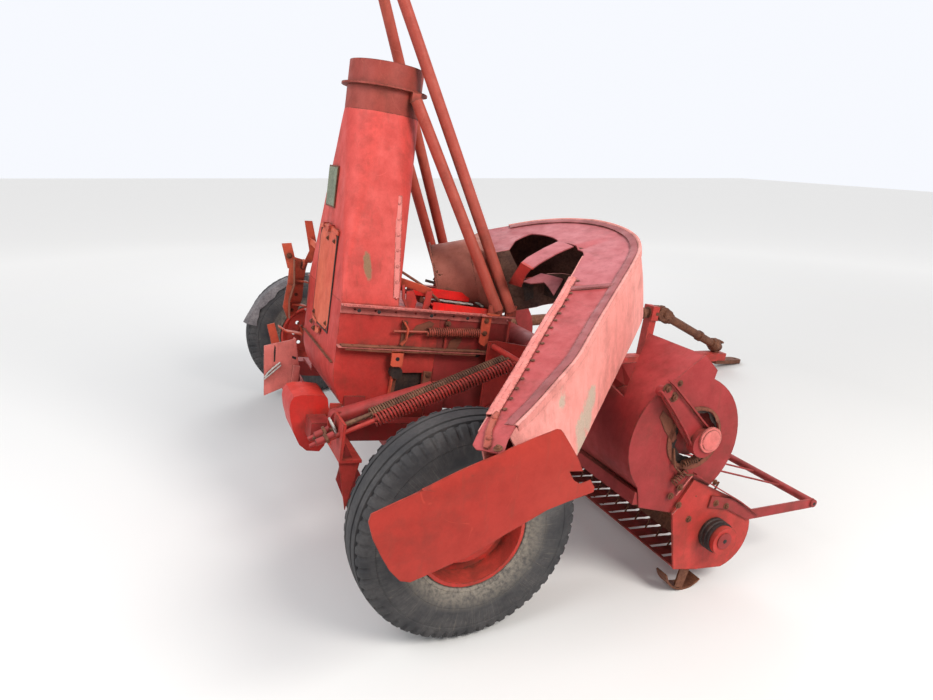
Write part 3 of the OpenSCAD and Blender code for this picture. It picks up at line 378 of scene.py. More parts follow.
def make_materials():
    p = settings("paint")
    red, deep, orange, mauve, pale, rust = (
        tuple(getattr(p, name)) for name in ("red", "deep", "orange", "mauve", "pale", "rust"))
    mud = ink(178, 160, 142)
    smudge = (level(-228, -590, 1195), (0.017, 0.06, 0.062), ink(136, 112, 84))
    wall_mud = [(on_duct(BEND_LEN + s, 0, z), reach, mud)
                for s, z, reach in ((735, -215, (0.05, 0.05, 0.05)), (800, -240, (0.06, 0.06, 0.08)),
                                    (880, -262, (0.07, 0.07, 0.06)), (985, -60, (0.03, 0.03, 0.035)))]
    worn = {
        # Darker than the chute's red: the housings' own paint, darkened further as painted shade on the lower
        # housing
        "red": (red, ink(206, 82, 72), {}),
        "chute": (ink(198, 60, 52), ink(218, 98, 88), {"dust": 0.1, "stains": [smudge]}),
        "deep": (deep, ink(176, 66, 62), {"dust": 0.5}),
        "header": (ink(146, 34, 36), ink(176, 70, 68), {"dust": 0.3, "chips": 0.8}),
        "orange": (orange, ink(222, 122, 88), {"chips": 0.7}),
        "guard": (ink(192, 34, 28), ink(206, 66, 52), {"dust": 0.2, "chips": 0.4, "gloss": 0.4}),
        # Mauve: faded paint, and a painted reflection of the sky on the spout's upper sheets
        "mauve": (mauve, ink(194, 120, 124), {"dust": 0.1, "chips": 0.8, "gloss": 0.56, "fade": 0.7}),
        "pale": (pale, ink(234, 172, 164), {"dust": 0.05, "chips": 0.5, "gloss": 0.6, "fade": 0.6,
                                            "stains": wall_mud}),
        "leg_top": (ink(166, 52, 54), ink(190, 92, 92), {"dust": 0.1, "chips": 0.6, "fade": 0.7}),
        "muddy_mauve": (ink(132, 58, 60), ink(160, 86, 86), {"dust": 0.1, "chips": 1.2}),
        "rose": (ink(210, 104, 98), ink(228, 148, 138), {"dust": 0.1, "chips": 1.2}),
        "flap": (ink(166, 34, 20), ink(178, 62, 44), {"dust": 0.1, "chips": 0.6, "gloss": 0.42, "fade": 0.6}),
        "pipe": (ink(160, 58, 44), ink(190, 104, 84), {"dust": 0.1, "chips": 1.1}),
        "collar": (ink(146, 52, 42), ink(176, 92, 74), {"dust": 0.1, "chips": 1.2}),
        "cover": (ink(208, 106, 97), ink(220, 146, 137), {"dust": 0.2, "chips": 0.6}),
        "rusty_pink": (ink(150, 78, 64), ink(180, 116, 98), {"dust": 0.2, "chips": 2.0, "gloss": 0.6}),
        "bright": (ink(226, 22, 22), ink(236, 60, 50), {"dust": 0.0, "chips": 0.2, "gloss": 0.35}),
        "muddy": (ink(128, 66, 48), ink(150, 104, 80), {"dust": 0.6, "chips": 2.0, "gloss": 0.7}),
        "rim": (ink(186, 42, 34), ink(198, 84, 70), {"dust": 0.4}),
    }
    for name, (colour, faded, options) in worn.items():
        MATERIALS[name] = worn_paint(name + "_paint", colour, faded, **options)
    MATERIALS.update({
        "steel": rusty_steel("rusty_steel", rust, ink(128, 80, 56)),
        "dark": rusty_steel("dark_steel", ink(44, 34, 32), ink(78, 56, 46)),
        "inside": rusty_steel("dusty_inside", ink(74, 46, 38), ink(112, 78, 62), 0.0),
        "spring": rusty_steel("brown_spring", ink(92, 60, 46), ink(146, 104, 78)),
        "rod": rusty_steel("dull_rod", ink(120, 112, 104), ink(160, 150, 140), 0.7),
        "zinc": rusty_steel("dull_zinc", ink(168, 164, 158), ink(196, 192, 184), 0.4),
        "plate": rusty_steel("blank_plate", ink(112, 118, 98), ink(142, 146, 122), 0.1),
        "hole": rusty_steel("hole_shade", ink(16, 12, 12), ink(28, 22, 20), 0.0),
        # Pale grey rubber: a painted highlight where the tread is lit from above
        "peeled": rusty_steel("rubber_painted_highlight", ink(98, 92, 94), ink(136, 128, 128), 0.0),
        "rubber": old_rubber("old_rubber"),
    })


NODE_FINISH = {
    "red": "chopper_housing spring_bracket drawbar driveline_post header_throat pickup_ends",
    "chute": "chute",
    "collar": "chute_collar",
    "cover": "tilted_cover top_rails",
    "rusty_pink": "spout_base",
    "deep": "axle_beam main_frame feed_housing spout_rest drive_case lift_barrel auger stripper_bands",
    "header": "header_trough header_ends bearing_arms windguard",
    "orange": "chute_door tension_spring",
    "guard": "rear_guard",
    "mauve": "spout_bend",
    "pale": "spout_walls spout_leg",
    "flap": "spout_flap",
    "pipe": "collar_braces spout_mast",
    "steel": "hitch_tongue power_shaft pickup_reel skid_shoes",
    "dark": "chopping_drum feed_roll_upper feed_roll_lower",
    "spring": "lift_springs",
    "rod": "lift_rod",
    "rubber": "tyre_left tyre_right",
    "rim": "rim_left rim_right",
}


def finish_of(node):
    for finish, names in NODE_FINISH.items():
        if node in names.split():
            return finish
    return "deep"


def dress_nodes():
    for name, node in NODES.items():
        node.data.materials.clear()
        node.data.materials.append(MATERIALS[finish_of(name)])


# Mesh helpers

BODY_OF = {n: body for body, names in frame["record"]["behaviour"]["bodies"].items() for n in names}
SLOT_OF = {part["node"]: part["material_slot"] for part in frame["record"]["subparts"]}
# Sheet isn't dented round the door's pin, so that the pin still turns in its ears
DOOR_PIN = Vector(next(joint["pos_m"] for joint in frame["record"]["behaviour"]["joints"]
                       if joint["name"] == "door_swing"))


def piece(name, bm, finish, body, slot, replaces=(), smooth=40, at=None, stretch=None):
    """Turns a bmesh into a finished object that rides on a body or, when it is given a stretch, stays fixed
    where it stands.
    """
    bmesh.ops.recalc_face_normals(bm, faces=bm.faces)
    mesh = bpy.data.meshes.new(name)
    finishes = (finish,) if isinstance(finish, str) else finish
    if at is not None:
        bmesh.ops.translate(bm, verts=bm.verts, vec=-Vector(at))
    bm.to_mesh(mesh)
    bm.free()
    mesh.shade_smooth()
    mesh.set_sharp_from_angle(angle=math.radians(smooth))
    obj = bpy.data.objects.new(name, mesh)
    if at is not None:
        obj.location = at
    bpy.context.scene.collection.objects.link(obj)
    for one in finishes:
        mesh.materials.append(MATERIALS[one])
    if stretch:
        stretch[0]
        stretch[1]
        stretch[2]
        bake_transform(obj)
    else:
        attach(obj, body)
    if replaces:
        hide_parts(*replaces)


def side_axes(direction):
    """Two unit vectors square to a direction."""
    d = Vector(direction).normalized()
    other = Vector((0, 0, 1)) if abs(d.z) < 0.9 else Vector((1, 0, 0))
    u = d.cross(other).normalized()
    return u, d.cross(u).normalized()


def turns(count, start=0.0):
    """Angles evenly spaced round a full turn."""
    return [k * math.tau / count + start for k in range(count)]


def circle(centre, u, v, radius, sides):
    """Points round a centre, in the plane of two unit vectors."""
    return [centre + (u * math.cos(a) + v * math.sin(a)) * radius for a in turns(sides)]


def spun(centre, profile, angle):
    """A profile of radii and offsets, turned by an angle about an axle through a centre."""
    return [centre + Vector((r * math.sin(angle), h, r * math.cos(angle))) for r, h in profile]


def ahead_at(path, i):
    """The way that a path runs at one of its points."""
    return path[min(i + 1, len(path) - 1)] - path[max(i - 1, 0)]


def bridge(bm, rings):
    """Joins closed rings of points one to the next and caps both ends."""
    rings = [[bm.verts.new(p) for p in ring] for ring in rings]
    for a, b in zip(rings, rings[1:]):
        for k in range(len(a)):
            bm.faces.new((a[k - 1], a[k], b[k], b[k - 1]))
    bm.faces.new(rings[0][::-1])
    bm.faces.new(rings[-1])


def wrap(bm, rows):
    """Joins open rows of points side by side, the last one back to the first."""
    rows = [[bm.verts.new(p) for p in row] for row in rows]
    for a, b in zip(rows, rows[1:] + rows[:1]):
        for i in range(len(a) - 1):
            bm.faces.new((a[i], a[i + 1], b[i + 1], b[i]))


def add_tube(bm, path, radius, sides=10):
    """Sweeps a round section along points; radius may be a list."""
    path = [Vector(p) for p in path]
    radii = radius if isinstance(radius, list) else [radius] * len(path)
    u = side_axes(path[1] - path[0])[0]
    rings = []
    for i, p in enumerate(path):
        d = ahead_at(path, i).normalized()
        u = (u - d * u.dot(d)).normalized()
        rings.append(circle(p, u, d.cross(u), radii[i], sides))
    bridge(bm, rings)


def add_disc(bm, at, axis, radius, height, sides=6, domed=False):
    """A short prism that stands on a point: a nut, a washer or a domed rivet head."""
    u, v = side_axes(axis)
    n = Vector(axis).normalized()
    steps = ((1, 0), (1, 0.35), (0.75, 0.8), (0.35, 1)) if domed else ((1, 0), (1, 0.8), (0.86, 1))
    bridge(bm, [circle(Vector(at) + n * (height * z), u, v, radius * r, sides) for r, z in steps])


def add_bolt(bm, at, axis, size=0.016):
    """A hexagon nut on its washer, with the stud's end showing."""
    n = Vector(axis).normalized()
    washer = (-0.0005, 0.95 * size, 0.0022, 14)
    nut = (0.0012, 0.62 * size, 0.5 * size, 6)
    stud = (0.001 + 0.45 * size, 0.3 * size, 0.28 * size, 8)
    for lift, radius, height, sides in (washer, nut, stud):
        add_disc(bm, Vector(at) + n * lift, n, radius, height, sides)


def add_prism(bm, points, along):
    """A closed outline of points pushed along a vector."""
    bridge(bm, [[Vector(p) for p in points], [Vector(p) + Vector(along) for p in points]])


def dent(p, depth):
    """Where bent sheet pushes a point, the same for every piece that lies there."""
    wide = noise.noise_vector(p * DENT_PITCH) * 0.75
    fine = noise.noise_vector(p * DENT_PITCH * DENT_FINER + Vector((5, 1, 3))) * 0.4
    return p + (wide + fine) * depth


def skin(bm, rows, index=0, dents=1.0):
    """A dented skin over rows of points, painted by the finish of an index."""
    depth = settings("sheet").dent * dents
    grid = [[bm.verts.new(dent(p, depth)) for p in row] for row in rows]
    for a, b in zip(grid, grid[1:]):
        for j in range(len(a) - 1):
            bm.faces.new((a[j], b[j], b[j + 1], a[j + 1])).material_index = index


def thicken(bm, thick, inside=None):
    """Gives open skins a thickness inwards, with closed rims; inside is the back's finish."""
    bmesh.ops.remove_doubles(bm, verts=bm.verts, dist=2e-5)
    bmesh.ops.delete(bm, geom=[v for v in bm.verts if not v.link_faces], context="VERTS")
    bmesh.ops.recalc_face_normals(bm, faces=bm.faces)
    bm.normal_update()
    faces, rims = bm.faces[:], [e for e in bm.edges if len(e.link_faces) == 1]
    twin = {v: bm.verts.new(v.co - v.normal * thick * min(2.0, v.calc_shell_factor()))
            for v in bm.verts[:]}
    for face in faces:
        back = bm.faces.new([twin[v] for v in reversed(face.verts)])
        back.material_index = face.material_index if inside is None else inside
    for e in rims:
        loop = e.link_loops[0]
        a, b = loop.vert, loop.link_loop_next.vert
        bm.faces.new((b, a, twin[a], twin[b])).material_index = e.link_faces[0].material_index


def slice_up(bm, axes, cell, shift, middle):
    """Cuts all faces by planes a cell apart along each axis, so that they can bend."""
    for axis in axes:
        far = max(abs((v.co - middle).dot(axis)) for v in bm.verts)
        for k in range(-int(far / cell), int(far / cell) + 1):
            bmesh.ops.bisect_plane(bm, geom=bm.verts[:] + bm.edges[:] + bm.faces[:], dist=1e-6,
                                   plane_co=middle + axis * (k + shift) * cell, plane_no=axis)


def bored(bm, cutters):
    """Cuts prisms, each an outline and the way it is pushed, out of a closed mesh."""
    made = []
    for outline, along in cutters:
        tool = bmesh.new()
        add_prism(tool, outline, along)
        bmesh.ops.recalc_face_normals(tool, faces=tool.faces)
        made.append(scratch_object("cutter", tool))
    body = scratch_object("cut_body", bm)
    for tool in made:
        cut = body.modifiers.new("cut", "BOOLEAN")
        cut.object, cut.solver = tool, "EXACT"
    result = bmesh.new()
    result.from_object(body, bpy.context.evaluated_depsgraph_get())
    for obj in (body, *made):
        mesh = obj.data
        bpy.data.objects.remove(obj)
        bpy.data.meshes.remove(mesh)
    return result


def scratch_object(name, bm):
    mesh = bpy.data.meshes.new(name)
    bm.to_mesh(mesh)
    bm.free()
    obj = bpy.data.objects.new(name, mesh)
    bpy.context.scene.collection.objects.link(obj)
    return obj


def worn_copy(node, dents, cutters=()):
    """Stands a rounded and dented copy of a sheet node in its place."""
    s = settings("sheet")
    bm = bmesh.new()
    bm.from_mesh(NODES[node].data)
    bmesh.ops.remove_doubles(bm, verts=bm.verts, dist=WELD)
    bmesh.ops.dissolve_limit(bm, angle_limit=math.radians(1.0), verts=bm.verts, edges=bm.edges)
    if cutters:
        bm = bored(bm, cutters)
        bmesh.ops.remove_doubles(bm, verts=bm.verts, dist=WELD)
    sharp = [e for e in bm.edges if len(e.link_faces) == 2 and e.calc_face_angle(0) > SHARP]
    bmesh.ops.bevel(bm, geom=sharp, offset=s.edge, segments=2, affect="EDGES", profile=0.6,
                    clamp_overlap=True)
    low, high = (Vector([end(v.co[i] for v in bm.verts) for i in range(3)]) for end in (min, max))
    turn = LEVEL.to_3x3()
    axes = (turn @ Vector((1, 0, 0)), Vector((0, 1, 0)), turn @ Vector((0, 0, 1)))
    slice_up(bm, axes, s.cell, 0.37, (low + high) / 2)
    for v in bm.verts:
        off_pin = Vector((v.co.x - DOOR_PIN.x, v.co.z - DOOR_PIN.z)).length
        free = min(1.0, max(0.0, (off_pin - PIN_TRUE) / PIN_FADE))
        bent = v.co.lerp(dent(v.co, s.dent * dents), free)
        v.co = [min(max(c, near), far) for c, near, far in zip(bent, *CAD_BOX)]
    piece("worn_" + node, bm, finish_of(node), BODY_OF[node], SLOT_OF[node], (node,), 32)


# The laid spout's own plan, in millimetres from the middle of its bend

BEND_R = 451
BASE_DEPTH = 330
LEG_DEPTH = 228
MOUTH_DEPTH = 155
LEG_L = 1261
SPOUT_W = 300
SQUARE_L = 184
BASE_HEADING = math.radians(-19)
BEND_TURN = math.radians(120)
BEND_LEN = BEND_R * BEND_TURN


def duct_depth(u):
    """Depth of the duct from its outer wall to its inner wall at a run along the outer edge."""
    if u < 0:
        return BASE_DEPTH
    if u < BEND_LEN:
        return BASE_DEPTH + (LEG_DEPTH - BASE_DEPTH) * u / BEND_LEN
    return LEG_DEPTH + (MOUTH_DEPTH - LEG_DEPTH) * (u - BEND_LEN) / LEG_L


def on_duct(u, inward, z):
    """A point of the parked spout by its run along the outer edge, its way in and its height."""
    bent = min(max(u, 0), BEND_LEN)
    angle = BASE_HEADING - bent / BEND_R
    along, into = Vector((math.cos(angle), math.sin(angle))), Vector((math.sin(angle), -math.cos(angle)))
    p = -into * BEND_R + along * (u - bent) + into * inward
    return laid(p.x, p.y, z)


# Operators

class HARVESTER_OT_materials(bpy.types.Operator):
    """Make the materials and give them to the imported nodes"""
    bl_idname = "harvester.materials"
    bl_label = "Materials"

    def execute(self, context):
        make_materials()
        dress_nodes()
        return {"FINISHED"}


class HARVESTER_OT_stage(bpy.types.Operator):
    """Set the camera, the lamps and the floor"""
    bl_idname = "harvester.stage"
    bl_label = "Stage"

    def execute(self, context):
        s = settings("stage")
        scene = context.scene
        yaw, dip, roll = CAMERA_TURN
        ahead = Vector((math.sin(yaw) * math.cos(dip), math.cos(yaw) * math.cos(dip), -math.sin(dip)))
        right = Vector((math.cos(yaw), -math.sin(yaw), 0))
        up = right.cross(ahead)
        x = right * math.cos(roll) + up * math.sin(roll)
        y = up * math.cos(roll) - right * math.sin(roll)
        turn = Matrix((x, y, -ahead)).transposed()
        data = bpy.data.cameras.new("camera")
        data.sensor_width = SENSOR
        data.lens = SENSOR * FOCAL_PX / PHOTO_WIDTH
        camera = bpy.data.objects.new("camera", data)
        camera.matrix_world = Matrix.Translation(CAMERA_AT) @ turn.to_4x4()
        scene.collection.objects.link(camera)
        scene.camera = camera

        floor = bpy.data.meshes.new("floor")
        corners = [(x * FLOOR_HALF, y * FLOOR_HALF, 0) for x, y in ((-1, -1), (1, -1), (1, 1), (-1, 1))]
        floor.from_pydata(corners, [], [(0, 1, 2, 3)])
        ground = bpy.data.objects.new("floor", floor)
        scene.collection.objects.link(ground)
        n = new_material("pale_floor")
        for socket in ("Base Color", "Emission Color"):
            n.shader.inputs[socket].default_value = rgba(s.floor)
        n.shader.inputs["Roughness"].default_value = 0.9
        away = n.vector("LENGTH", n.place)["Value"]
        looked_at = n.add("LightPath").outputs["Is Camera Ray"]
        glow = n.times(n.band(away, 2.5, 9.0, 0.0, 0.5), looked_at)
        n.tree.links.new(glow, n.shader.inputs["Emission Strength"])
        floor.materials.append(n.material)

        for name, at, size, share, tint in LAMPS:
            lamp = bpy.data.lights.new(name, "AREA")
            lamp.size = size
            lamp.energy = s.lamp * share
            lamp.color = tint
            obj = bpy.data.objects.new(name, lamp)
            obj.location = at
            obj.rotation_euler = (LAMP_AIM - Vector(at)).to_track_quat("-Z", "Y").to_euler()
            scene.collection.objects.link(obj)

        world = bpy.data.worlds.new("sky")
        world.use_nodes = True
        n = Nodes(world.node_tree)
        back = n.tree.nodes["Background"]
        light = n.add("LightPath").outputs
        seen = n.most(light["Is Camera Ray"], light["Is Glossy Ray"])
        back.inputs["Color"].default_value = SKY
        n.tree.links.new(n.band(seen, 0.0, 1.0, 0.5, 1.0), back.inputs["Strength"])
        scene.world = world
        scene.view_settings.view_transform = "Standard"
        return {"FINISHED"}


class HARVESTER_OT_sheets(bpy.types.Operator):
    """Round the edges of the sheet pieces and dent them"""
    bl_idname = "harvester.sheets"
    bl_label = "Sheets"

    def execute(self, context):
        for node, dents in (("chute", 1.0), ("spout_base", 1.0), ("tilted_cover", 0.9),
                            ("header_trough", 0.9), ("header_ends", 0.9), ("chute_door", 0.5)):
            worn_copy(node, dents)
        # The hole of the torn out gate goes through the near wall only
        gate = [level(x, -645, z)
                for x, z in ((-60, 602), (-56, 744), (72, 748), (74, 690), (82, 604), (20, 592))]
        worn_copy("chopper_housing", 0.8, [(gate, (0, 0.05, 0))])
        rear_guard()
        return {"FINISHED"}


def rear_guard():
    """The rounded guard low behind the housing: a face and the wall turned back from its edge."""
    near, deep, bulge, steps, dents = -607, 190, 9, 5, 1.2
    outline = [(-346, 622), (-400, 627), (-452, 626), (-480, 617), (-492, 596), (-494, 566), (-485, 520),
               (-462, 452), (-434, 402), (-400, 376), (-345, 372), (-326, 399), (-316, 450), (-322, 560),
               (-334, 612)]
    bm = bmesh.new()
    middle = Vector((-405, 520))
    rows = []
    for x, z in outline + outline[:1]:
        spoke = [(middle.lerp(Vector((x, z)), k / steps), k / steps) for k in range(1, steps + 1)]
        rows.append([level(p.x, near - bulge * (1 - t) ** 2, p.y) for p, t in spoke]
                    + [level(x, near + d, z) for d in (4, deep * 0.5, deep)])
    skin(bm, rows, 0, dents)
    depth = settings("sheet").dent * dents
    hub = bm.verts.new(dent(level(middle.x, near - bulge, middle.y), depth))
    ring = [bm.verts.new(dent(row[0], depth)) for row in rows[:-1]]
    for a, b in zip(ring, ring[1:] + ring[:1]):
        bm.faces.new((hub, a, b))
    thicken(bm, 0.005)
    piece("guard_sheet", bm, "guard", "machine", SLOT_OF["rear_guard"], ("rear_guard",), 40)


class HARVESTER_OT_spout(bpy.types.Operator):
    """Build the spout from its dented sheets, folded lips and straps"""
    bl_idname = "harvester.spout"
    bl_label = "Spout"

    def execute(self, context):
        spout_skins()
        spout_lips()
        spout_strap()
        spout_flange()
        mouth_bracket()
        return {"FINISHED"}


# Where the duct's sections stand along its outer edge: base, bend, then leg
SPOUT_RUNS = ([-SQUARE_L + k * (SQUARE_L / 4) for k in range(4)] + [k * BEND_LEN / 30 for k in range(30)]
              + [BEND_LEN + k * LEG_L / 32 for k in range(33)])
# How far in the top sheet still reaches, by the run, where its inner part is cut away over the bend
CUT_EDGE = ((-184, 330), (-54, 227), (-24, 186), (63, 160), (150, 189), (401, 281), (2600, 400))
CUT_FROM, CUT_TO = -60, 401


def along_table(table, x):
    """Reads a value between the rows of a two column table."""
    for (x0, y0), (x1, y1) in zip(table, table[1:]):
        if x <= x1:
            return y0 + (y1 - y0) * max(0.0, (x - x0) / (x1 - x0))
    return table[-1][1]


def taper(u):
    """How far the top sheet draws in from the outer wall towards the mouth."""
    s = u - BEND_LEN
    return 66 * (max(0.0, s - 800) / 460) ** 1.3


def wall_foot(u):
    """How deep the walls reach below the top; the sheet is cut away under the mouth."""
    return SPOUT_W - 75 * min(1.0, max(0.0, (u - BEND_LEN - 1030) / 200)) ** 1.5


def top_drop(u, inward):
    """How low the near part of the top sheet lies past its joggle, and how its middle sags."""
    start, slant, drop, fade = 606, 63, 17, 180
    v = inward / duct_depth(u)
    past = u - start - slant * v
    low = drop * v * max(0.0, 1 - past / fade) if past > 0 else 0.0
    edge = min(inward, duct_depth(u) - inward) / 40
    return low + 3.0 * min(1.0, max(0.0, edge))


def top_far_edge(u):
    """How far in the top sheet reaches."""
    whole = duct_depth(u)
    return min(whole, along_table(CUT_EDGE, u)) if CUT_FROM < u < CUT_TO else whole


def spout_skins():
    """The duct itself: top, outer wall, bottom, and the inner wall where it is closed."""
    bm = bmesh.new()
    rows = []
    for u in SPOUT_RUNS:
        a, b = taper(u), top_far_edge(u)
        rows.append([on_duct(u, i, -top_drop(u, i)) for i in (a + (b - a) * k / 7 for k in range(8))])
    seam = SPOUT_RUNS.index(BEND_LEN) + 7
    skin(bm, rows[:seam + 1], 0, 1.4)
    skin(bm, rows[seam:], 4, 1.4)
    # Outer wall, pale, a little bellied between its edges
    rows = [[on_duct(u, taper(u) * (1 - v) - 4 * math.sin(math.pi * v), -wall_foot(u) * v)
             for v in (k / 8 for k in range(9))] for u in SPOUT_RUNS]
    skin(bm, rows, 1, 1.6)
    # Bottom and inner wall, which is low at the bend
    rows = [[on_duct(u, duct_depth(u) * k / 5, -wall_foot(u)) for k in range(6)] for u in SPOUT_RUNS]
    skin(bm, rows, 1, 1.0)
    rows = []
    for u in SPOUT_RUNS:
        high = 0 if u < -50 or u > BEND_LEN - 20 else -150
        rows.append([on_duct(u, duct_depth(u), high + (-wall_foot(u) - high) * k / 5) for k in range(6)])
    at_bend = SPOUT_RUNS.index(0) + 3
    skin(bm, rows[:at_bend], 3, 1.2)
    skin(bm, rows[at_bend - 1:], 1, 1.2)
    thicken(bm, 0.005, 2)
    piece("spout_skins", bm, ("mauve", "pale", "inside", "red", "leg_top"), "machine",
          SLOT_OF["spout_leg"], ("spout_bend", "spout_walls", "spout_leg"), 32)


def fold_over(bm, us, edge_in, width, proud, hang=0, index=0):
    """A folded strip that lies along an edge of the top sheet, and may hang over it."""
    side = 2 if width > 0 else -2
    rows = []
    for u in us:
        a = edge_in(u)
        row = [(a - side, -hang)] if hang else []
        row += [(a - side, proud), (a + width * 0.5, proud + 1.5), (a + width, 3)]
        rows.append([on_duct(u, i, z) for i, z in row])
    skin(bm, rows, index, 1.4)


def spout_lips():
    """The dark flange along the outer seam and the pale folded strip along the leg's inner edge."""
    bm = bmesh.new()
    us = [u for u in SPOUT_RUNS if -60 < u < BEND_LEN + 1230]
    fold_over(bm, us, lambda u: taper(u) + 12, 30, 5, index=0)
    fold_over(bm, us, lambda u: taper(u) - 3, 14, 6, 22, index=1)
    run = [BEND_LEN + s for s in range(230, 1210, 30)]
    fold_over(bm, run, lambda u: duct_depth(u) + 3, -30, 10, 26, index=2)
    # The overlap of the next sheet across the leg
    rows = [[on_duct(BEND_LEN + 267 + 50 * v + d, 30 + 168 * v, z)
             for d, z in ((-3, 0), (-2, 5), (22, 5), (26, 0))] for v in (k / 8 for k in range(9))]
    skin(bm, rows, 0, 1.4)
    thicken(bm, 0.003)
    piece("spout_lips", bm, ("muddy_mauve", "pale", "rose"), "machine", SLOT_OF["spout_leg"], smooth=30)
    bm = bmesh.new()
    for u in [BEND_LEN + s for s in range(250, 1200, 56)]:
        add_disc(bm, on_duct(u, duct_depth(u) - 36, 1), SPOUT_UP, 0.0065, 0.002, 10)
    piece("spout_rust_holes", bm, "steel", "machine", "bare_steel")


def spout_strap():
    """The flat strap that crosses the open side of the bend and is folded down onto the base."""
    bm = bmesh.new()
    path = [((163, 54, 5), (170, -50, 5)), ((60, 22, 8), (66, -80, 8)), ((-40, -14, 6), (-36, -112, 6)),
            ((-80, -27, -2), (-80, -122, -2)), ((-84, 20, -50), (-78, -60, -50)),
            ((-82, 80, -102), (-68, -2, -102)), ((-78, 136, -152), (-55, 55, -152))]
    rows = []
    for (a, b), (c, d) in zip(path, path[1:]):
        for t in (k / 4 for k in range(4)):
            p, q = Vector(a).lerp(Vector(c), t), Vector(b).lerp(Vector(d), t)
            rows.append([laid(*p.lerp(q, j / 3)) for j in range(4)])
    a, b = path[-1]
    rows.append([laid(*Vector(a).lerp(Vector(b), j / 3)) for j in range(4)])
    skin(bm, rows[:12], 0, 1.2)
    skin(bm, rows[11:], 1, 1.2)
    thicken(bm, 0.005)
    piece("spout_strap", bm, ("mauve", "red"), "machine", SLOT_OF["spout_bend"], smooth=30)


def spout_flange():
    """The broken flange that is left of the inner top sheet, with its curled edge, dark with rust and painted
    shade.
    """
    bm = bmesh.new()
    outer = [(-24, 102), (30, 108), (85, 119), (108, 60), (127, -10)]
    inner = [(-4, 53), (20, 40), (45, 20), (30, -50), (6, -133)]
    rows = [[laid(*Vector((*a, -148)).lerp(Vector((*b, -148)), k / 3)) for k in range(4)]
            for a, b in zip(outer, inner)]
    skin(bm, rows, 0, 1.5)
    # The curled edge is painted dark: partly rust, partly painted shade under the flange
    curl = [[laid(x + lean * t * t, y + 5 * t, -148 - 104 * t) for t in (0, 0.25, 0.5, 0.75, 1.0)]
            for (x, y), lean in zip(outer, (4, -6, -12, -20, -26))]
    skin(bm, curl, 1, 3.0)
    thicken(bm, 0.004)
    piece("spout_flange", bm, ("mauve", "dark"), "machine", SLOT_OF["spout_bend"], smooth=35)


def mouth_bracket():
    """The top sheet's tongue over the flap's pin, and the narrow hinge strap on it."""
    bm = bmesh.new()
    tongue = ((1200, 62, 156), (1250, 60, 154), (1290, 58, 152), (1330, 52, 146), (1346, 64, 128))
    rows = [[on_duct(BEND_LEN + s, a + (b - a) * k / 5, 4) for k in range(6)] for s, a, b in tongue]
    skin(bm, rows, 0, 1.2)
    thicken(bm, 0.003)
    piece("mouth_tongue", bm, "leg_top", "machine", SLOT_OF["spout_leg"], smooth=30)
    bm = bmesh.new()
    strap = [(1172, 141), (1180, 127), (1262, 116), (1326, 92), (1342, 96), (1338, 110), (1270, 133),
             (1200, 145)]
    add_prism(bm, [on_duct(BEND_LEN + s, inward, 6.5) for s, inward in strap], SPOUT_UP * 0.005)
    for s, inward in ((1204, 131), (1300, 108)):
        add_disc(bm, on_duct(BEND_LEN + s, inward, 11), SPOUT_UP, 0.009, 0.006, 12, True)
    piece("mouth_strap", bm, "collar", "machine", SLOT_OF["spout_leg"], smooth=30)
    bm = bmesh.new()
    add_bolt(bm, laid(FLAP_PIN.x, FLAP_PIN.y, 12), SPOUT_UP, 0.0135)
    piece("mouth_pin_nut", bm, "steel", "machine", "bare_steel")


# The flap's pin in the spout's own drawing
FLAP_PIN = Vector((-757.5, -1166.9, 0))


class HARVESTER_OT_flap(bpy.types.Operator):
    """Build the swinging flap at the spout's mouth from one bent sheet"""
    bl_idname = "harvester.flap"
    bl_label = "Flap"

    def execute(self, context):
        bm = bmesh.new()
        outline = [(-378, -44), (-366, -24), (-234, -14), (-120, -6), (0, -4), (120, -3), (180, -5),
                   (191, -12), (228, -120), (240, -172), (196, -152), (208, -192), (228, -214),
                   (262, -216), (272, -246), (268, -262), (113, -252), (-20, -272), (-143, -292),
                   (-317, -292), (-342, -272), (-362, -220), (-372, -164), (-380, -100)]
        face = bm.faces.new([bm.verts.new((x / 1000, 0, z / 1000)) for x, z in outline])
        face.normal_update()
        along = (face.verts[1].co - face.verts[0].co).normalized()
        slice_up(bm, (along, face.normal.cross(along)), 0.036, 0.31, face.calc_center_median())
        for v in bm.verts:
            x, z = v.co.x * 1000, v.co.z * 1000
            back = 8.0 if z > -14 else 0.0
            curl = 5.0 * ((x + 60) / 320) ** 2
            belly = 3.0 * math.sin(math.pi * min(1.0, max(0.0, -z / 290)))
            v.co = dent(laid(FLAP_PIN.x + x, FLAP_PIN.y - 10 + back + curl * 0.6 - belly, z), 0.0035)
        thicken(bm, 0.004)
        piece("flap_sheet", bm, "flap", "spout_flap", SLOT_OF["spout_flap"], ("spout_flap",), 30)
        return {"FINISHED"}


class HARVESTER_OT_tyres(bpy.types.Operator):
    """Model the tyres with their ribs, shoulder cuts and sidewall rings"""
    bl_idname = "harvester.tyres"
    bl_label = "Tyres"

    def execute(self, context):
        s = settings("tyre")
        half = tyre_half_profile()
        profile = half + [(r, -h) for r, h in reversed(half)]
        for side, sign in (("left", 1), ("right", -1)):
            bm = bmesh.new()
            rows = []
            for k, angle in enumerate(turns(s.cuts * 6)):
                section = profile
                # Two steps in six are a cut, which is lower on the shoulder and set in at its side
                if k % 6 in (3, 4):
                    section = [shoulder_cut(r, h, s.cut_depth) for r, h in profile]
                rows.append(spun(hub_of(sign), section, angle))
            wrap(bm, rows)
            piece("tread_" + side, bm, "rubber", "wheel_" + side, "tyre", ("tyre_" + side,), 28,
                  at=hub_of(sign))
        peeled_tread(hub_of(1))
        return {"FINISHED"}


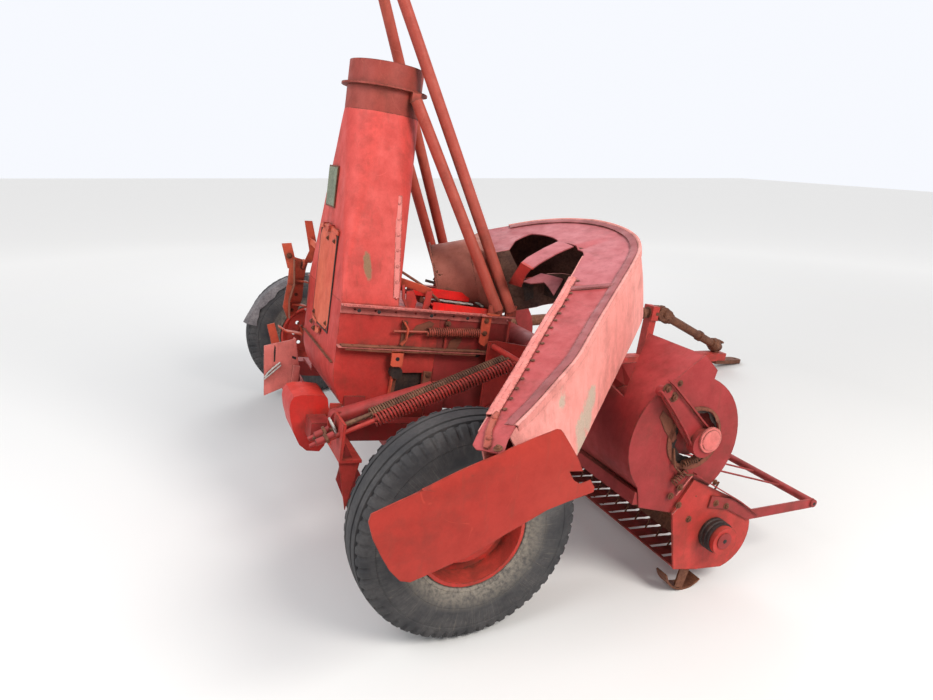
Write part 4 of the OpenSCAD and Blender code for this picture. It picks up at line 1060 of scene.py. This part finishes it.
def shoulder_cut(r, h, depth):
    """Where a cut moves a point of the tyre's section: only on its shoulder."""
    if r <= 0.372 or abs(h) <= 0.072:
        return r, h
    return r - (depth if r > 0.385 else 0.0), h * (0.965 if r <= 0.408 else 1.0)


def peeled_tread(hub):
    """The strip of tread that has come loose on the left wheel, flared out at its torn end, pale grey as a
    painted highlight of the tread lit from above.
    """
    bm = bmesh.new()
    rows = []
    for k in range(25):
        t = k / 24
        turn = math.radians(-18 - 56 * t)
        wave = 0.009 * math.sin(11.0 * t) + 0.004 * math.sin(29.0 * t)
        flare = 0.034 * t ** 3
        section = ((0.384 + wave, -0.1105), (0.404 + wave / 2, -0.1055), (0.4225 + flare / 2, -0.092),
                   (0.4235 + flare, -0.052), (0.4225 + flare * 0.6, -0.012))
        rows.append(spun(hub, section, turn))
    skin(bm, rows, 0, 1.0)
    thicken(bm, 0.007)
    piece("peeled_tread", bm, "peeled", "wheel_left", "tyre", smooth=35, at=hub)


def tyre_half_profile():
    """Half of a tyre's section, from the bead over the sidewall to the middle of the tread."""
    return [(0.2065, 0.078), (0.210, 0.090), (0.219, 0.096), (0.222, 0.094), (0.228, 0.099), (0.240, 0.105),
            (0.252, 0.1105), (0.262, 0.1135), (0.272, 0.1155), (0.275, 0.1140), (0.279, 0.1162),
            (0.292, 0.1172), (0.306, 0.1172), (0.320, 0.1165), (0.335, 0.1145), (0.349, 0.1118),
            (0.353, 0.1090), (0.357, 0.1108), (0.368, 0.1075), (0.373, 0.1068), (0.380, 0.1052),
            (0.388, 0.1022), (0.396, 0.0978), (0.403, 0.0925), (0.4085, 0.0862), (0.4115, 0.080),
            (0.4130, 0.0735), (0.4035, 0.0715), (0.4035, 0.0645), (0.4145, 0.0625), (0.4170, 0.050),
            (0.4180, 0.0385), (0.4085, 0.0365), (0.4085, 0.0285), (0.4188, 0.0265), (0.4196, 0.012),
            (0.4198, 0.0)]


class HARVESTER_OT_springs(bpy.types.Operator):
    """Wind the lift springs and the small tension spring"""
    bl_idname = "harvester.springs"
    bl_label = "Springs"

    def execute(self, context):
        for y, finish, wire, count in ((-930, "red", 0.0044, 44), (-865, "spring", 0.0037, 58)):
            rear, lever = level(-400, y, 560), level(373, y, 900)
            d = (lever - rear).normalized()
            bm = bmesh.new()
            wind(bm, rear, lever, 0.190, 0.040, 0.0235, wire, count)
            add_tube(bm, [rear - d * 0.05, rear - d * 0.02, rear + d * 0.10, lever - d * 0.016], 0.0095, 12)
            piece(f"lift_spring_{abs(y)}", bm, finish, "machine", "bare_steel",
                  ("lift_springs",), 50, stretch=("header", rear, lever))
        rear, front = level(-45, -647, 936), level(330, -647, 950)
        bm = bmesh.new()
        wind(bm, rear, front, 0.102, 0.022, 0.0170, 0.0040, 24)
        add_tube(bm, [rear - (front - rear).normalized() * 0.05, rear, front], 0.0055, 10)
        piece("small_spring", bm, "pipe", "machine", "paint_orange", ("tension_spring",), 50)
        return {"FINISHED"}


def wind(bm, a, b, lead, tail, radius, wire, count):
    """A close spiral of some turns between two points, set in by a lead and a tail."""
    d = (b - a).normalized()
    u, v = side_axes(d)
    length = (b - a).length - lead - tail
    per = 14
    path = [a + d * (lead + length * k / (count * per)) + (u * math.cos(t) + v * math.sin(t)) * radius
            for k in range(count * per + 1) for t in (k * math.tau / per,)]
    add_tube(bm, path, wire, 6)


# Places in the level drawing, in millimetres across the machine: the housing's near wall, its rail's
# face, the small spring's plate, the tilted cover, the bearing arm, the pickup's end, the drive case
NEAR_WALL = -625
RAIL_FACE = -665.4
SPRING_PLATE = -652
COVER_SIDE = -208.6
ARM_EDGE = -1574
PICKUP_END = -1548
CASE_FACE = 155
# And in millimetres along it: the driveline's post and its front end
POST_X, FRONT_X = 2290, 3180
# Finishes of bare metal and dark holes, which aren't painted
BARE = ("steel", "dark", "hole", "zinc", "rod", "spring")


def at_y(y, *points):
    """Points of x and z, all at one place across the machine."""
    return [(x, y, z) for x, z in points]


def drawbar_y(x):
    """Where the drawbar runs, which leans across the machine."""
    return 240 + (x - 330) * 0.18387


def arc(x, z, radius, start, step, count):
    """Points of x and z round a centre, by a start and a step in degrees."""
    angles = [math.radians(start + step * k) for k in range(count)]
    return [(x + radius * math.cos(a), z + radius * math.sin(a)) for a in angles]


class Kit:
    """Collects small parts by finish, in level millimetres, and makes one piece of each finish."""

    def __init__(self, name, body):
        self.name, self.body, self.meshes = name, body, defaultdict(bmesh.new)

    def plate(self, finish, outline, y, thick):
        """A flat plate square to the y axis, from an outline of x and z."""
        add_prism(self.meshes[finish], [level(x, y, z) for x, z in outline], (0, thick / 1000, 0))

    def block(self, finish, low, high):
        """A block between two corners."""
        (x0, y0, z0), (x1, y1, z1) = low, high
        self.plate(finish, [(x0, z0), (x1, z0), (x1, z1), (x0, z1)], y0, y1 - y0)

    def bar(self, finish, path, width, thick, across=(0, 1, 0)):
        """A flat bar along points, its width lying along across."""
        points = [level(*p) for p in path]
        wide = LEVEL.to_3x3() @ Vector(across)
        a = wide.normalized() * (width / 1000) / 2
        rings = []
        for i, p in enumerate(points):
            n = ahead_at(points, i).cross(wide).normalized() * (thick / 1000)
            rings.append((p - a, p + a, p + a + n, p - a + n))
        bridge(self.meshes[finish], rings)

    def rod(self, finish, path, dia, sides=10):
        """A round rod along points."""
        add_tube(self.meshes[finish], [level(*p) for p in path], dia / 2000, sides)

    def coil(self, finish, a, b, radius, wire, count):
        """A spiral of wire between two points."""
        wind(self.meshes[finish], level(*a), level(*b), 0, 0, radius / 1000, wire / 1000, count)

    def bolts(self, finish, spots, size, axis=(0, -1, 0)):
        """Nuts and washers that stand on spots."""
        for spot in spots:
            add_bolt(self.meshes[finish], level(*spot), LEVEL.to_3x3() @ Vector(axis), size / 1000)

    def disc(self, finish, at, radius, height, sides=20, axis=(0, -1, 0), domed=False):
        """A disc that stands on a point."""
        add_disc(self.meshes[finish], level(*at), LEVEL.to_3x3() @ Vector(axis),
                 radius / 1000, height / 1000, sides, domed)

    def fork(self, finish, at, along, upright):
        """A driveline fork: two eared cheeks round a cross, a collar behind them, and the cross's caps."""
        turn = LEVEL.to_3x3()
        mesh, p, d = self.meshes[finish], level(*at), (turn @ Vector(along)).normalized()
        sides = side_axes(d)
        across, over = sides if upright else sides[::-1]
        ear = ((-0.020, -0.012), (-0.020, 0.012), (-0.008, 0.024), (0.014, 0.026),
               (0.062, 0.021), (0.062, -0.021), (0.014, -0.026), (-0.008, -0.024))
        for sign in (1, -1):
            out = across * sign
            add_prism(mesh, [p + d * s + over * w * sign + out * 0.040 for s, w in ear], out * 0.014)
            add_disc(mesh, p + out * 0.0538, out, 0.017, 0.004, 16)
        collar = ((0.056, 0.050), (0.064, 0.054), (0.086, 0.054), (0.094, 0.043), (0.128, 0.041))
        add_tube(mesh, [p + d * s for s, _ in collar], [radius for _, radius in collar], 20)
        add_tube(mesh, [p - across * 0.052, p + across * 0.052], 0.013, 12)

    def done(self):
        """Makes the pieces."""
        for finish, bm in self.meshes.items():
            slot = "bare_steel" if finish in BARE else "paint_red"
            piece(f"{self.name}_{finish}", bm, finish, self.body, slot, smooth=35)


class HARVESTER_OT_housing(bpy.types.Operator):
    """Add the straps, levers and brackets on the chopper housing's near side"""
    bl_idname = "harvester.housing"
    bl_label = "Housing trim"

    def execute(self, context):
        kit = Kit("housing", "machine")
        kit.plate("muddy", [(-59, 830), (-34, 828), (-28, 905), (-31, 977), (-55, 980), (-52, 900)],
                  NEAR_WALL, -9)
        kit.plate("red", [(150, 833), (162, 833), (162, 1000), (150, 1000)], NEAR_WALL, -12)
        kit.plate("muddy", [(76, 755), (74, 690), (84, 605), (112, 600), (104, 680), (114, 755)],
                  NEAR_WALL, -10)
        kit.bar("orange", at_y(-636, (-76, 752), (-77, 690), (-80, 620), (-94, 563), (-134, 515)), 22, 6)
        kit.bar("muddy", at_y(-628, (-64, 752), (-66, 690), (-68, 622), (-84, 562)), 6, 16)
        kit.rod("red", [(452, -650, 1012), (459, -650, 782)], 11)
        # Tab with a hole, on its foot
        kit.plate("orange", [(-97, 790), (-90, 783), (-43, 783), (-43, 850), (-97, 850)], -669, 5)
        kit.block("orange", (-97, -669, 845), (-43, NEAR_WALL, 851))
        kit.disc("hole", (-69, -669.5, 818), 9, 0.6)
        # Seam of the shell, with its turned lip
        kit.bar("muddy", [(-318, -649, 862), (-180, -651, 863), (-20, -649, 865), (120, -651, 863),
                          (300, -650, 865), (452, -650, 862)], 40, 3)
        kit.plate("muddy", [(-300, 846), (-120, 843), (60, 848), (300, 845), (300, 853), (-300, 853)],
                  -664, 3)
        kit.rod("red", [(118, -640, 711), (210, -642, 719), (304, -640, 725)], 8)
        kit.rod("muddy", [(128, -640, 680), (304, -640, 715)], 7)
        # Brackets of the small spring
        kit.bar("orange", at_y(-647, (-58, 979), (-36, 950), (-38, 901), (-58, 878)), 22, 6)
        kit.plate("orange", [(309, 1030), (357, 1030), (357, 905), (340, 890), (312, 905)], SPRING_PLATE, 7)
        kit.bolts("steel", at_y(SPRING_PLATE, (333, 950), (333, 1008)), 13)
        kit.block("orange", (328, -668, 1036), (389, -648, 1044))
        # The rail's turned foot and its row of holes
        for x in (-262, -176, 60, 232):
            kit.disc("hole", (x, RAIL_FACE, 1017), 8, 0.5)
        kit.plate("rose", [(-332, 1031), (-40, 1034), (120, 1032), (300, 1035), (300, 1040), (-332, 1040)],
                  RAIL_FACE - 0.6, -2)
        # Broken skin and caked mud on the upper box
        for outline in ([(-20, 905), (30, 935), (62, 925), (95, 975), (70, 985), (10, 960)],
                        [(165, 845), (215, 860), (238, 905), (226, 930), (180, 900)]):
            kit.plate("muddy", outline, NEAR_WALL, -2)
        kit.bolts("steel", [(-45, -634, 850), (156, -637, 980), (95, -635, 740), (95, -635, 625),
                            (-70, -634, 770), (455, -656, 770)], 14)
        # Bracket and the two bright bars above the rail
        kit.bar("orange", [(-76, -562, 1140), (30, -580, 1116), (72, -588, 1104)], 34, 5, (0, 0.4, -1))
        kit.bar("red", [(64, -592, 1112), (58, -594, 1060), (48, -596, 1004)], 30, 5, (1, 0, 0))
        kit.bar("red", [(-58, -585, 1128), (-52, -590, 1070), (-20, -596, 1010)], 14, 5, (1, 0, 0))
        kit.plate("red", [(-40, 1100), (-8, 1108), (14, 1060), (4, 1012), (-34, 1010)], -588, 4)
        for y, z, x0, x1 in ((-600, 1052, 76, 345), (-478, 1096, 18, 300)):
            middle = (x0 + x1) / 2
            kit.bar("bright", [(x0, y, z), (middle, y - 3, z - 4), (x1, y, z - 12)], 46, 6)
            kit.bar("bright", [(x0, y - 24, z - 2), (middle, y - 27, z - 7), (x1, y - 24, z - 14)], 40, 5,
                    (0, 0, 1))
        zigzag = [(60 + 22 * k, -536 - 9 * (k % 2), 1066 - 0.9 * k) for k in range(12)]
        kit.bar("zinc", zigzag, 13, 6)
        kit.block("muddy", (60, -500, 1040), (90, -460, 1088))
        kit.block("muddy", (240, -500, 1040), (270, -460, 1080))
        # Crossed rods and levers that lie on the housing's top
        kit.rod("rod", [(120, -380, 1125), (250, -430, 1108), (372, -520, 1046)], 13)
        kit.rod("muddy", [(-60, -480, 1180), (60, -520, 1120), (130, -560, 1064)], 12)
        kit.rod("muddy", [(180, -330, 1130), (330, -420, 1070), (430, -470, 1046)], 14)
        kit.plate("dark", [(190, 1044), (330, 1044), (318, 1110), (262, 1150), (210, 1120)], -400, 10)
        kit.done()
        return {"FINISHED"}


class HARVESTER_OT_chute(bpy.types.Operator):
    """Add the seam, rivets, blank plate and door fittings of the chute"""
    bl_idname = "harvester.chute"
    bl_label = "Chute trim"

    def execute(self, context):
        kit = Kit("chute", "machine")
        outward = Vector((0, -0.976, 0.218))
        foot, head, aside = Vector((-80, -625, 1040)), Vector((-105, -451, 1820)), Vector((-13, 0, 0))
        seam = [foot.lerp(head, k / 24) + outward * 1.5 + aside for k in range(1, 15)]
        kit.bar("rose", seam, 26, 3, (-1, 0, 0))
        for p in seam[::2]:
            kit.disc("rose", p + outward * 3, 5.5, 3, 10, outward, True)
        # Blank plate in a brown frame
        kit.block("steel", (-331, -326, 1397), (-326, -164, 1577))
        kit.block("plate", (-333, -320, 1404), (-330, -170, 1570))
        # Dark strips round the door, painted shade in place of the gap behind its edges, and the door's
        # fittings
        for y0, y1 in ((-459, -450), (-150, -142)):
            kit.block("dark", (-334, y0, 868), (-329.5, y1, 1304))
        kit.block("dark", (-334, -459, 862), (-329.5, -142, 868))
        kit.bar("orange", [(-344, -340, 848), (-344, -300, 838), (-344, -250, 836)], 26, 6, (0, 0, 1))
        kit.bolts("steel", [(-346, -256, 838), (-340, -178, 852)], 15, (-1, 0, 0))
        kit.bar("orange", [(-334, -470, 1312), (-338, -300, 1326), (-334, -130, 1312)], 8, 20, (1, 0, 0))
        kit.done()
        kit = Kit("door", "chute_door")
        kit.bolts("steel", [(-334.6, -420, 900), (-334.6, -180, 900), (-334.6, -420, 1262),
                            (-334.6, -300, 1262)], 12, (-1, 0, 0))
        kit.bar("orange", [(-336, -250, 866), (-346, -200, 880), (-338, -160, 905)], 16, 4, (0, 0.3, 1))
        kit.done()
        return {"FINISHED"}


class HARVESTER_OT_header(bpy.types.Operator):
    """Add the broken end, hub, flanges, lips and bolts of the header's near end"""
    bl_idname = "harvester.header"
    bl_label = "Header trim"

    def execute(self, context):
        kit = Kit("header", "header")
        # Channel edges of the bearing arm and its end cap
        kit.bar("header", at_y(ARM_EDGE, (606, 1030), (640, 1008), (720, 946), (800, 882), (858, 838)), 16, 6)
        kit.bar("header", at_y(ARM_EDGE, (580, 990), (650, 925), (730, 842), (790, 766)), 16, 6)
        kit.bolts("steel", [(612, -1568, 1000), (650, -1568, 970)], 20)
        kit.disc("rose", (845, -1590, 815), 50, 9, 28)
        kit.disc("rose", (845, -1598, 815), 40, 9, 28, domed=True)
        # Caked and rusted lining that shows through the hole, and its torn lip
        for finish, y, thick, outer, inner, wild, torn in (
                ("dark", -1524, 5, 120, 82, 22, 26), ("muddy", -1531, -3, 126, 107, 14, 6)):
            ring = []
            for a in (k * math.tau / 48 for k in range(49)):
                ragged = noise.noise(Vector((math.cos(a), math.sin(a), y / 7)) * 3.1)
                open_side = max(0.0, math.cos(a - 0.8)) * torn
                ring.append((a, min(outer - 4, inner + open_side + wild * ragged)))
            for (a0, r0), (a1, r1) in zip(ring, ring[1:]):
                around = [(828 + r * math.cos(a), 797 + r * math.sin(a))
                          for a, r in ((a0, outer), (a1, outer), (a1, r1), (a0, r0))]
                kit.plate(finish, around, y, thick)
        kit.coil("steel", (785, -1545, 699), (856, -1545, 722), 11, 3.4, 7)
        kit.coil("steel", (763, -1545, 623), (813, -1545, 670), 11, 3.4, 6)
        kit.rod("steel", [(735, -1538, 760), (752, -1546, 690), (800, -1546, 655), (860, -1540, 650)], 8)
        kit.plate("muddy", [(648, 905), (700, 870), (742, 800), (728, 780), (676, 830), (640, 880)],
                  -1530, -4)
        # Pickup end: bolts, folded lip, pale edge
        kit.bar("header", at_y(PICKUP_END, (858, 656), (980, 597), (1116, 535), (1248, 463)), 22, 5)
        kit.bar("rose", [(800, -1540, 566), (858, -1540, 648)], 4, 6)
        kit.bar("rose", [(826, -1541, 527), (798, -1541, 490)], 6, 4)
        kit.bolts("steel", at_y(-1540, (822, 526), (890, 463), (772, 566), (808, 600))
                  + at_y(PICKUP_END, (1004, 529), (1062, 513)), 15)
        # Windguard's end and its eye
        kit.disc("header", (1560, -1549, 501), 17, 8, 20)
        kit.disc("hole", (1560, -1557, 501), 7, 0.8, 14)
        # Top angle of the trough's end
        kit.bolts("steel", at_y(-1530, (700, 1010), (900, 560), (990, 610)), 13)
        kit.done()
        # The pickup shaft's dark sleeve and its red face
        bm = bmesh.new()
        centre = level(1028, 0, 397)
        ridges = [(0.058, -1.541), (0.067, -1.543), (0.067, -1.552), (0.062, -1.556), (0.066, -1.561),
                  (0.066, -1.572), (0.062, -1.577), (0.0655, -1.583), (0.0640, -1.5905), (0.058, -1.5915),
                  (0.058, -1.541)]
        axle = Vector((centre.x, -MID.y, centre.z))
        wrap(bm, [spun(axle, ridges, a) for a in turns(48)])
        piece("pickup_sleeve", bm, "dark", "header", "bare_steel", smooth=30)
        kit = Kit("pickup_cap", "header")
        kit.disc("header", (1028, -1610, 397), 34, 5, 28)
        kit.disc("hole", (1028, -1615, 397), 9, 0.8, 16)
        kit.done()
        return {"FINISHED"}


class HARVESTER_OT_rear(bpy.types.Operator):
    """Add the levers and brackets behind the chute and the parts of the cover and springs"""
    bl_idname = "harvester.rear"
    bl_label = "Rear trim"

    def execute(self, context):
        kit = Kit("rear", "machine")
        kit.bar("muddy", [(-332, -600, 775), (-332, -300, 776), (-332, 0, 775)], 18, 4, (1, 0, 0))
        for y, outline in (
                (62, [(-372, 1295), (-335, 1298), (-292, 1158), (-318, 1092), (-356, 1090), (-334, 1152)]),
                (66, [(-470, 1172), (-424, 1180), (-384, 1062), (-430, 1054)]),
                (58, [(-425, 1118), (-335, 1100), (-343, 1062), (-348, 985), (-425, 975)]),
                (52, [(-428, 975), (-348, 985), (-348, 905), (-372, 832), (-412, 806), (-438, 862)]),
                (58, [(-505, 765), (-470, 776), (-430, 662), (-470, 652)]),
                (50, [(-348, 775), (-292, 762), (-298, 716), (-334, 732)])):
            kit.plate("orange", outline, y, 7)
        for z in (1000, 880):
            kit.bar("orange", [(-400, 45, z), (-360, 40, z), (-331, 35, z - 4)], 40, 6)
        kit.bar("orange", [(-330, 62, 1200), (-326, 20, 1196), (-322, -30, 1190)], 30, 6, (0, 0, 1))
        kit.bar("muddy", [(-412, 30, 1108), (-400, 28, 985), (-416, 28, 900), (-408, 30, 812)], 42, 4)
        kit.bar("orange", [(-450, 55, 760), (-415, 40, 742), (-340, 20, 736)], 44, 6)
        kit.disc("orange", (-358, 40, 1087), 24, 10, 22, (-1, 0, 0))
        kit.disc("hole", (-368, 40, 1087), 13, 0.8, 18, (-1, 0, 0))
        kit.rod("muddy", [(-339, 55, 774), (-320, 55, 742), (-296, 50, 722), (-276, 40, 730)], 14)
        kit.bolts("steel", [(-358, 58, 1070), (-380, 58, 930), (-392, 58, 850), (-430, 57, 1118)], 15)
        # On the tilted cover: slot, tear and the pale lever
        kit.plate("hole", [(-422, 686), (-403, 680), (-402, 668), (-421, 674)], COVER_SIDE, -0.5)
        kit.plate("dark", [(-507, 735), (-500, 722), (-497, 655), (-504, 651), (-508, 700)], COVER_SIDE, -0.5)
        kit.rod("zinc", [(-475, -214, 652), (-505, -218, 625), (-525, -216, 601), (-538, -212, 578)], 9)
        kit.rod("zinc", [(-470, -216, 640), (-500, -220, 612), (-540, -214, 568)], 7)
        # Adjusters of the lift springs
        for x0, z0, x1, z1, y in ((-424, 557, -380, 581, -930), (-417, 560, -384, 578, -865)):
            kit.rod("header", [(x0 - 22, y, z0 - 10), (x0, y, z0), (x1, y, z1)], 26, 16)
            kit.disc("steel", (x0 + 20, y, z0 + 10), 21, 12, 6, (-0.87, 0, -0.49))
            kit.rod("header", [(x0 - 46, y, z0 - 25), (x0 - 20, y, z0 - 11)], 15, 12)
        kit.disc("zinc", (-372, -878, 598), 35, 8, 30, (-0.87, 0, -0.49))
        kit.plate("header", [(-335, 547), (-222, 349), (-272, 220), (-357, 397)], -950, 7)
        kit.done()
        return {"FINISHED"}


class HARVESTER_OT_driveline(bpy.types.Operator):
    """Add the driveline's forks, its crosses and the bolts of the drive case"""
    bl_idname = "harvester.driveline"
    bl_label = "Driveline"

    def execute(self, context):
        rear_end, post, joint, front = (Vector(p) for p in (
            (490, 335, 740), (POST_X, drawbar_y(POST_X), 900), (POST_X + 90, drawbar_y(POST_X), 900),
            (FRONT_X, drawbar_y(FRONT_X), 635)))
        long_way, short_way = (post - rear_end).normalized(), (front - joint).normalized()
        backward = Vector((-1, 0, 0))
        kit = Kit("driveline", "machine")
        for at, way, upright in ((rear_end, long_way, False), (rear_end, backward, True),
                                 (joint, backward, False), (joint, short_way, True),
                                 (front, -short_way, False)):
            kit.fork("steel", at, way, upright)
        # Sliding halves of the long shaft, with their collars
        for t, dia in ((0.12, 88), (0.52, 92), (0.56, 84), (0.94, 84)):
            p = rear_end.lerp(post, t)
            kit.rod("steel", [p, p + long_way * 26], dia, 20)
        p = joint.lerp(front, 0.62)
        kit.rod("steel", [p, p + short_way * 30], 82, 20)
        # Bolts round the drive case, on its far side, and its bearing disc
        rim = arc(-60, 752, 148, 90, 30, 7) + arc(300, 770, 103, -90, 45, 5)
        kit.bolts("steel", at_y(CASE_FACE, *rim), 14, (0, 1, 0))
        kit.disc("steel", (-60, CASE_FACE, 752), 62, 10, 28, (0, 1, 0))
        kit.bolts("steel", at_y(CASE_FACE + 9, *arc(-60, 752, 46, 0, 60, 6)), 12, (0, 1, 0))
        kit.done()
        return {"FINISHED"}


class HARVESTER_OT_fasteners(bpy.types.Operator):
    """Set the bolts of the housing's seam and the nuts of both rims"""
    bl_idname = "harvester.fasteners"
    bl_label = "Fasteners"

    def execute(self, context):
        bm = bmesh.new()
        for x in range(-270, 460, 120):
            add_bolt(bm, level(x, -650, 861), LEVEL.to_3x3() @ Vector((0, 0, 1)), 0.011)
        piece("housing_bolts", bm, "steel", "machine", "bare_steel")
        for side, sign in (("left", 1), ("right", -1)):
            bm = bmesh.new()
            for angle in turns(6, 0.3):
                add_bolt(bm, *spun(hub_of(sign), [(0.082, sign * 0.0362)], angle), (0, sign, 0))
            piece("rim_nuts_" + side, bm, "steel", "wheel_" + side, "bare_steel")
        return {"FINISHED"}


class HARVESTER_PT_panel(bpy.types.Panel):
    """Lists the harvester's settings and building steps"""
    bl_label = "Harvester"
    bl_idname = "HARVESTER_PT_panel"
    bl_space_type = "VIEW_3D"
    bl_region_type = "UI"
    bl_category = "Harvester"

    def draw(self, context):
        for key, group in GROUPS.items():
            box = self.layout.box()
            for name in group.__annotations__:
                box.prop(settings(key), name)
        for step in STEPS:
            self.layout.operator(step.bl_idname)


GROUPS = {"paint": PaintSettings, "sheet": SheetSettings, "tyre": TyreSettings, "stage": StageSettings}
STEPS = (HARVESTER_OT_materials, HARVESTER_OT_stage, HARVESTER_OT_sheets, HARVESTER_OT_spout,
         HARVESTER_OT_flap, HARVESTER_OT_tyres, HARVESTER_OT_springs, HARVESTER_OT_housing,
         HARVESTER_OT_chute, HARVESTER_OT_header, HARVESTER_OT_rear, HARVESTER_OT_driveline,
         HARVESTER_OT_fasteners)


def register():
    for cls in (*GROUPS.values(), *STEPS, HARVESTER_PT_panel):
        bpy.utils.register_class(cls)
    for key, group in GROUPS.items():
        setattr(bpy.types.Scene, "harvester_" + key, PointerProperty(type=group))


def unregister():
    for key in GROUPS:
        delattr(bpy.types.Scene, "harvester_" + key)
    for cls in reversed((*GROUPS.values(), *STEPS, HARVESTER_PT_panel)):
        bpy.utils.unregister_class(cls)


def main():
    register()
    for step in STEPS:
        group, name = step.bl_idname.split(".")
        getattr(getattr(bpy.ops, group), name)()


if __name__ == "__main__":
    main()
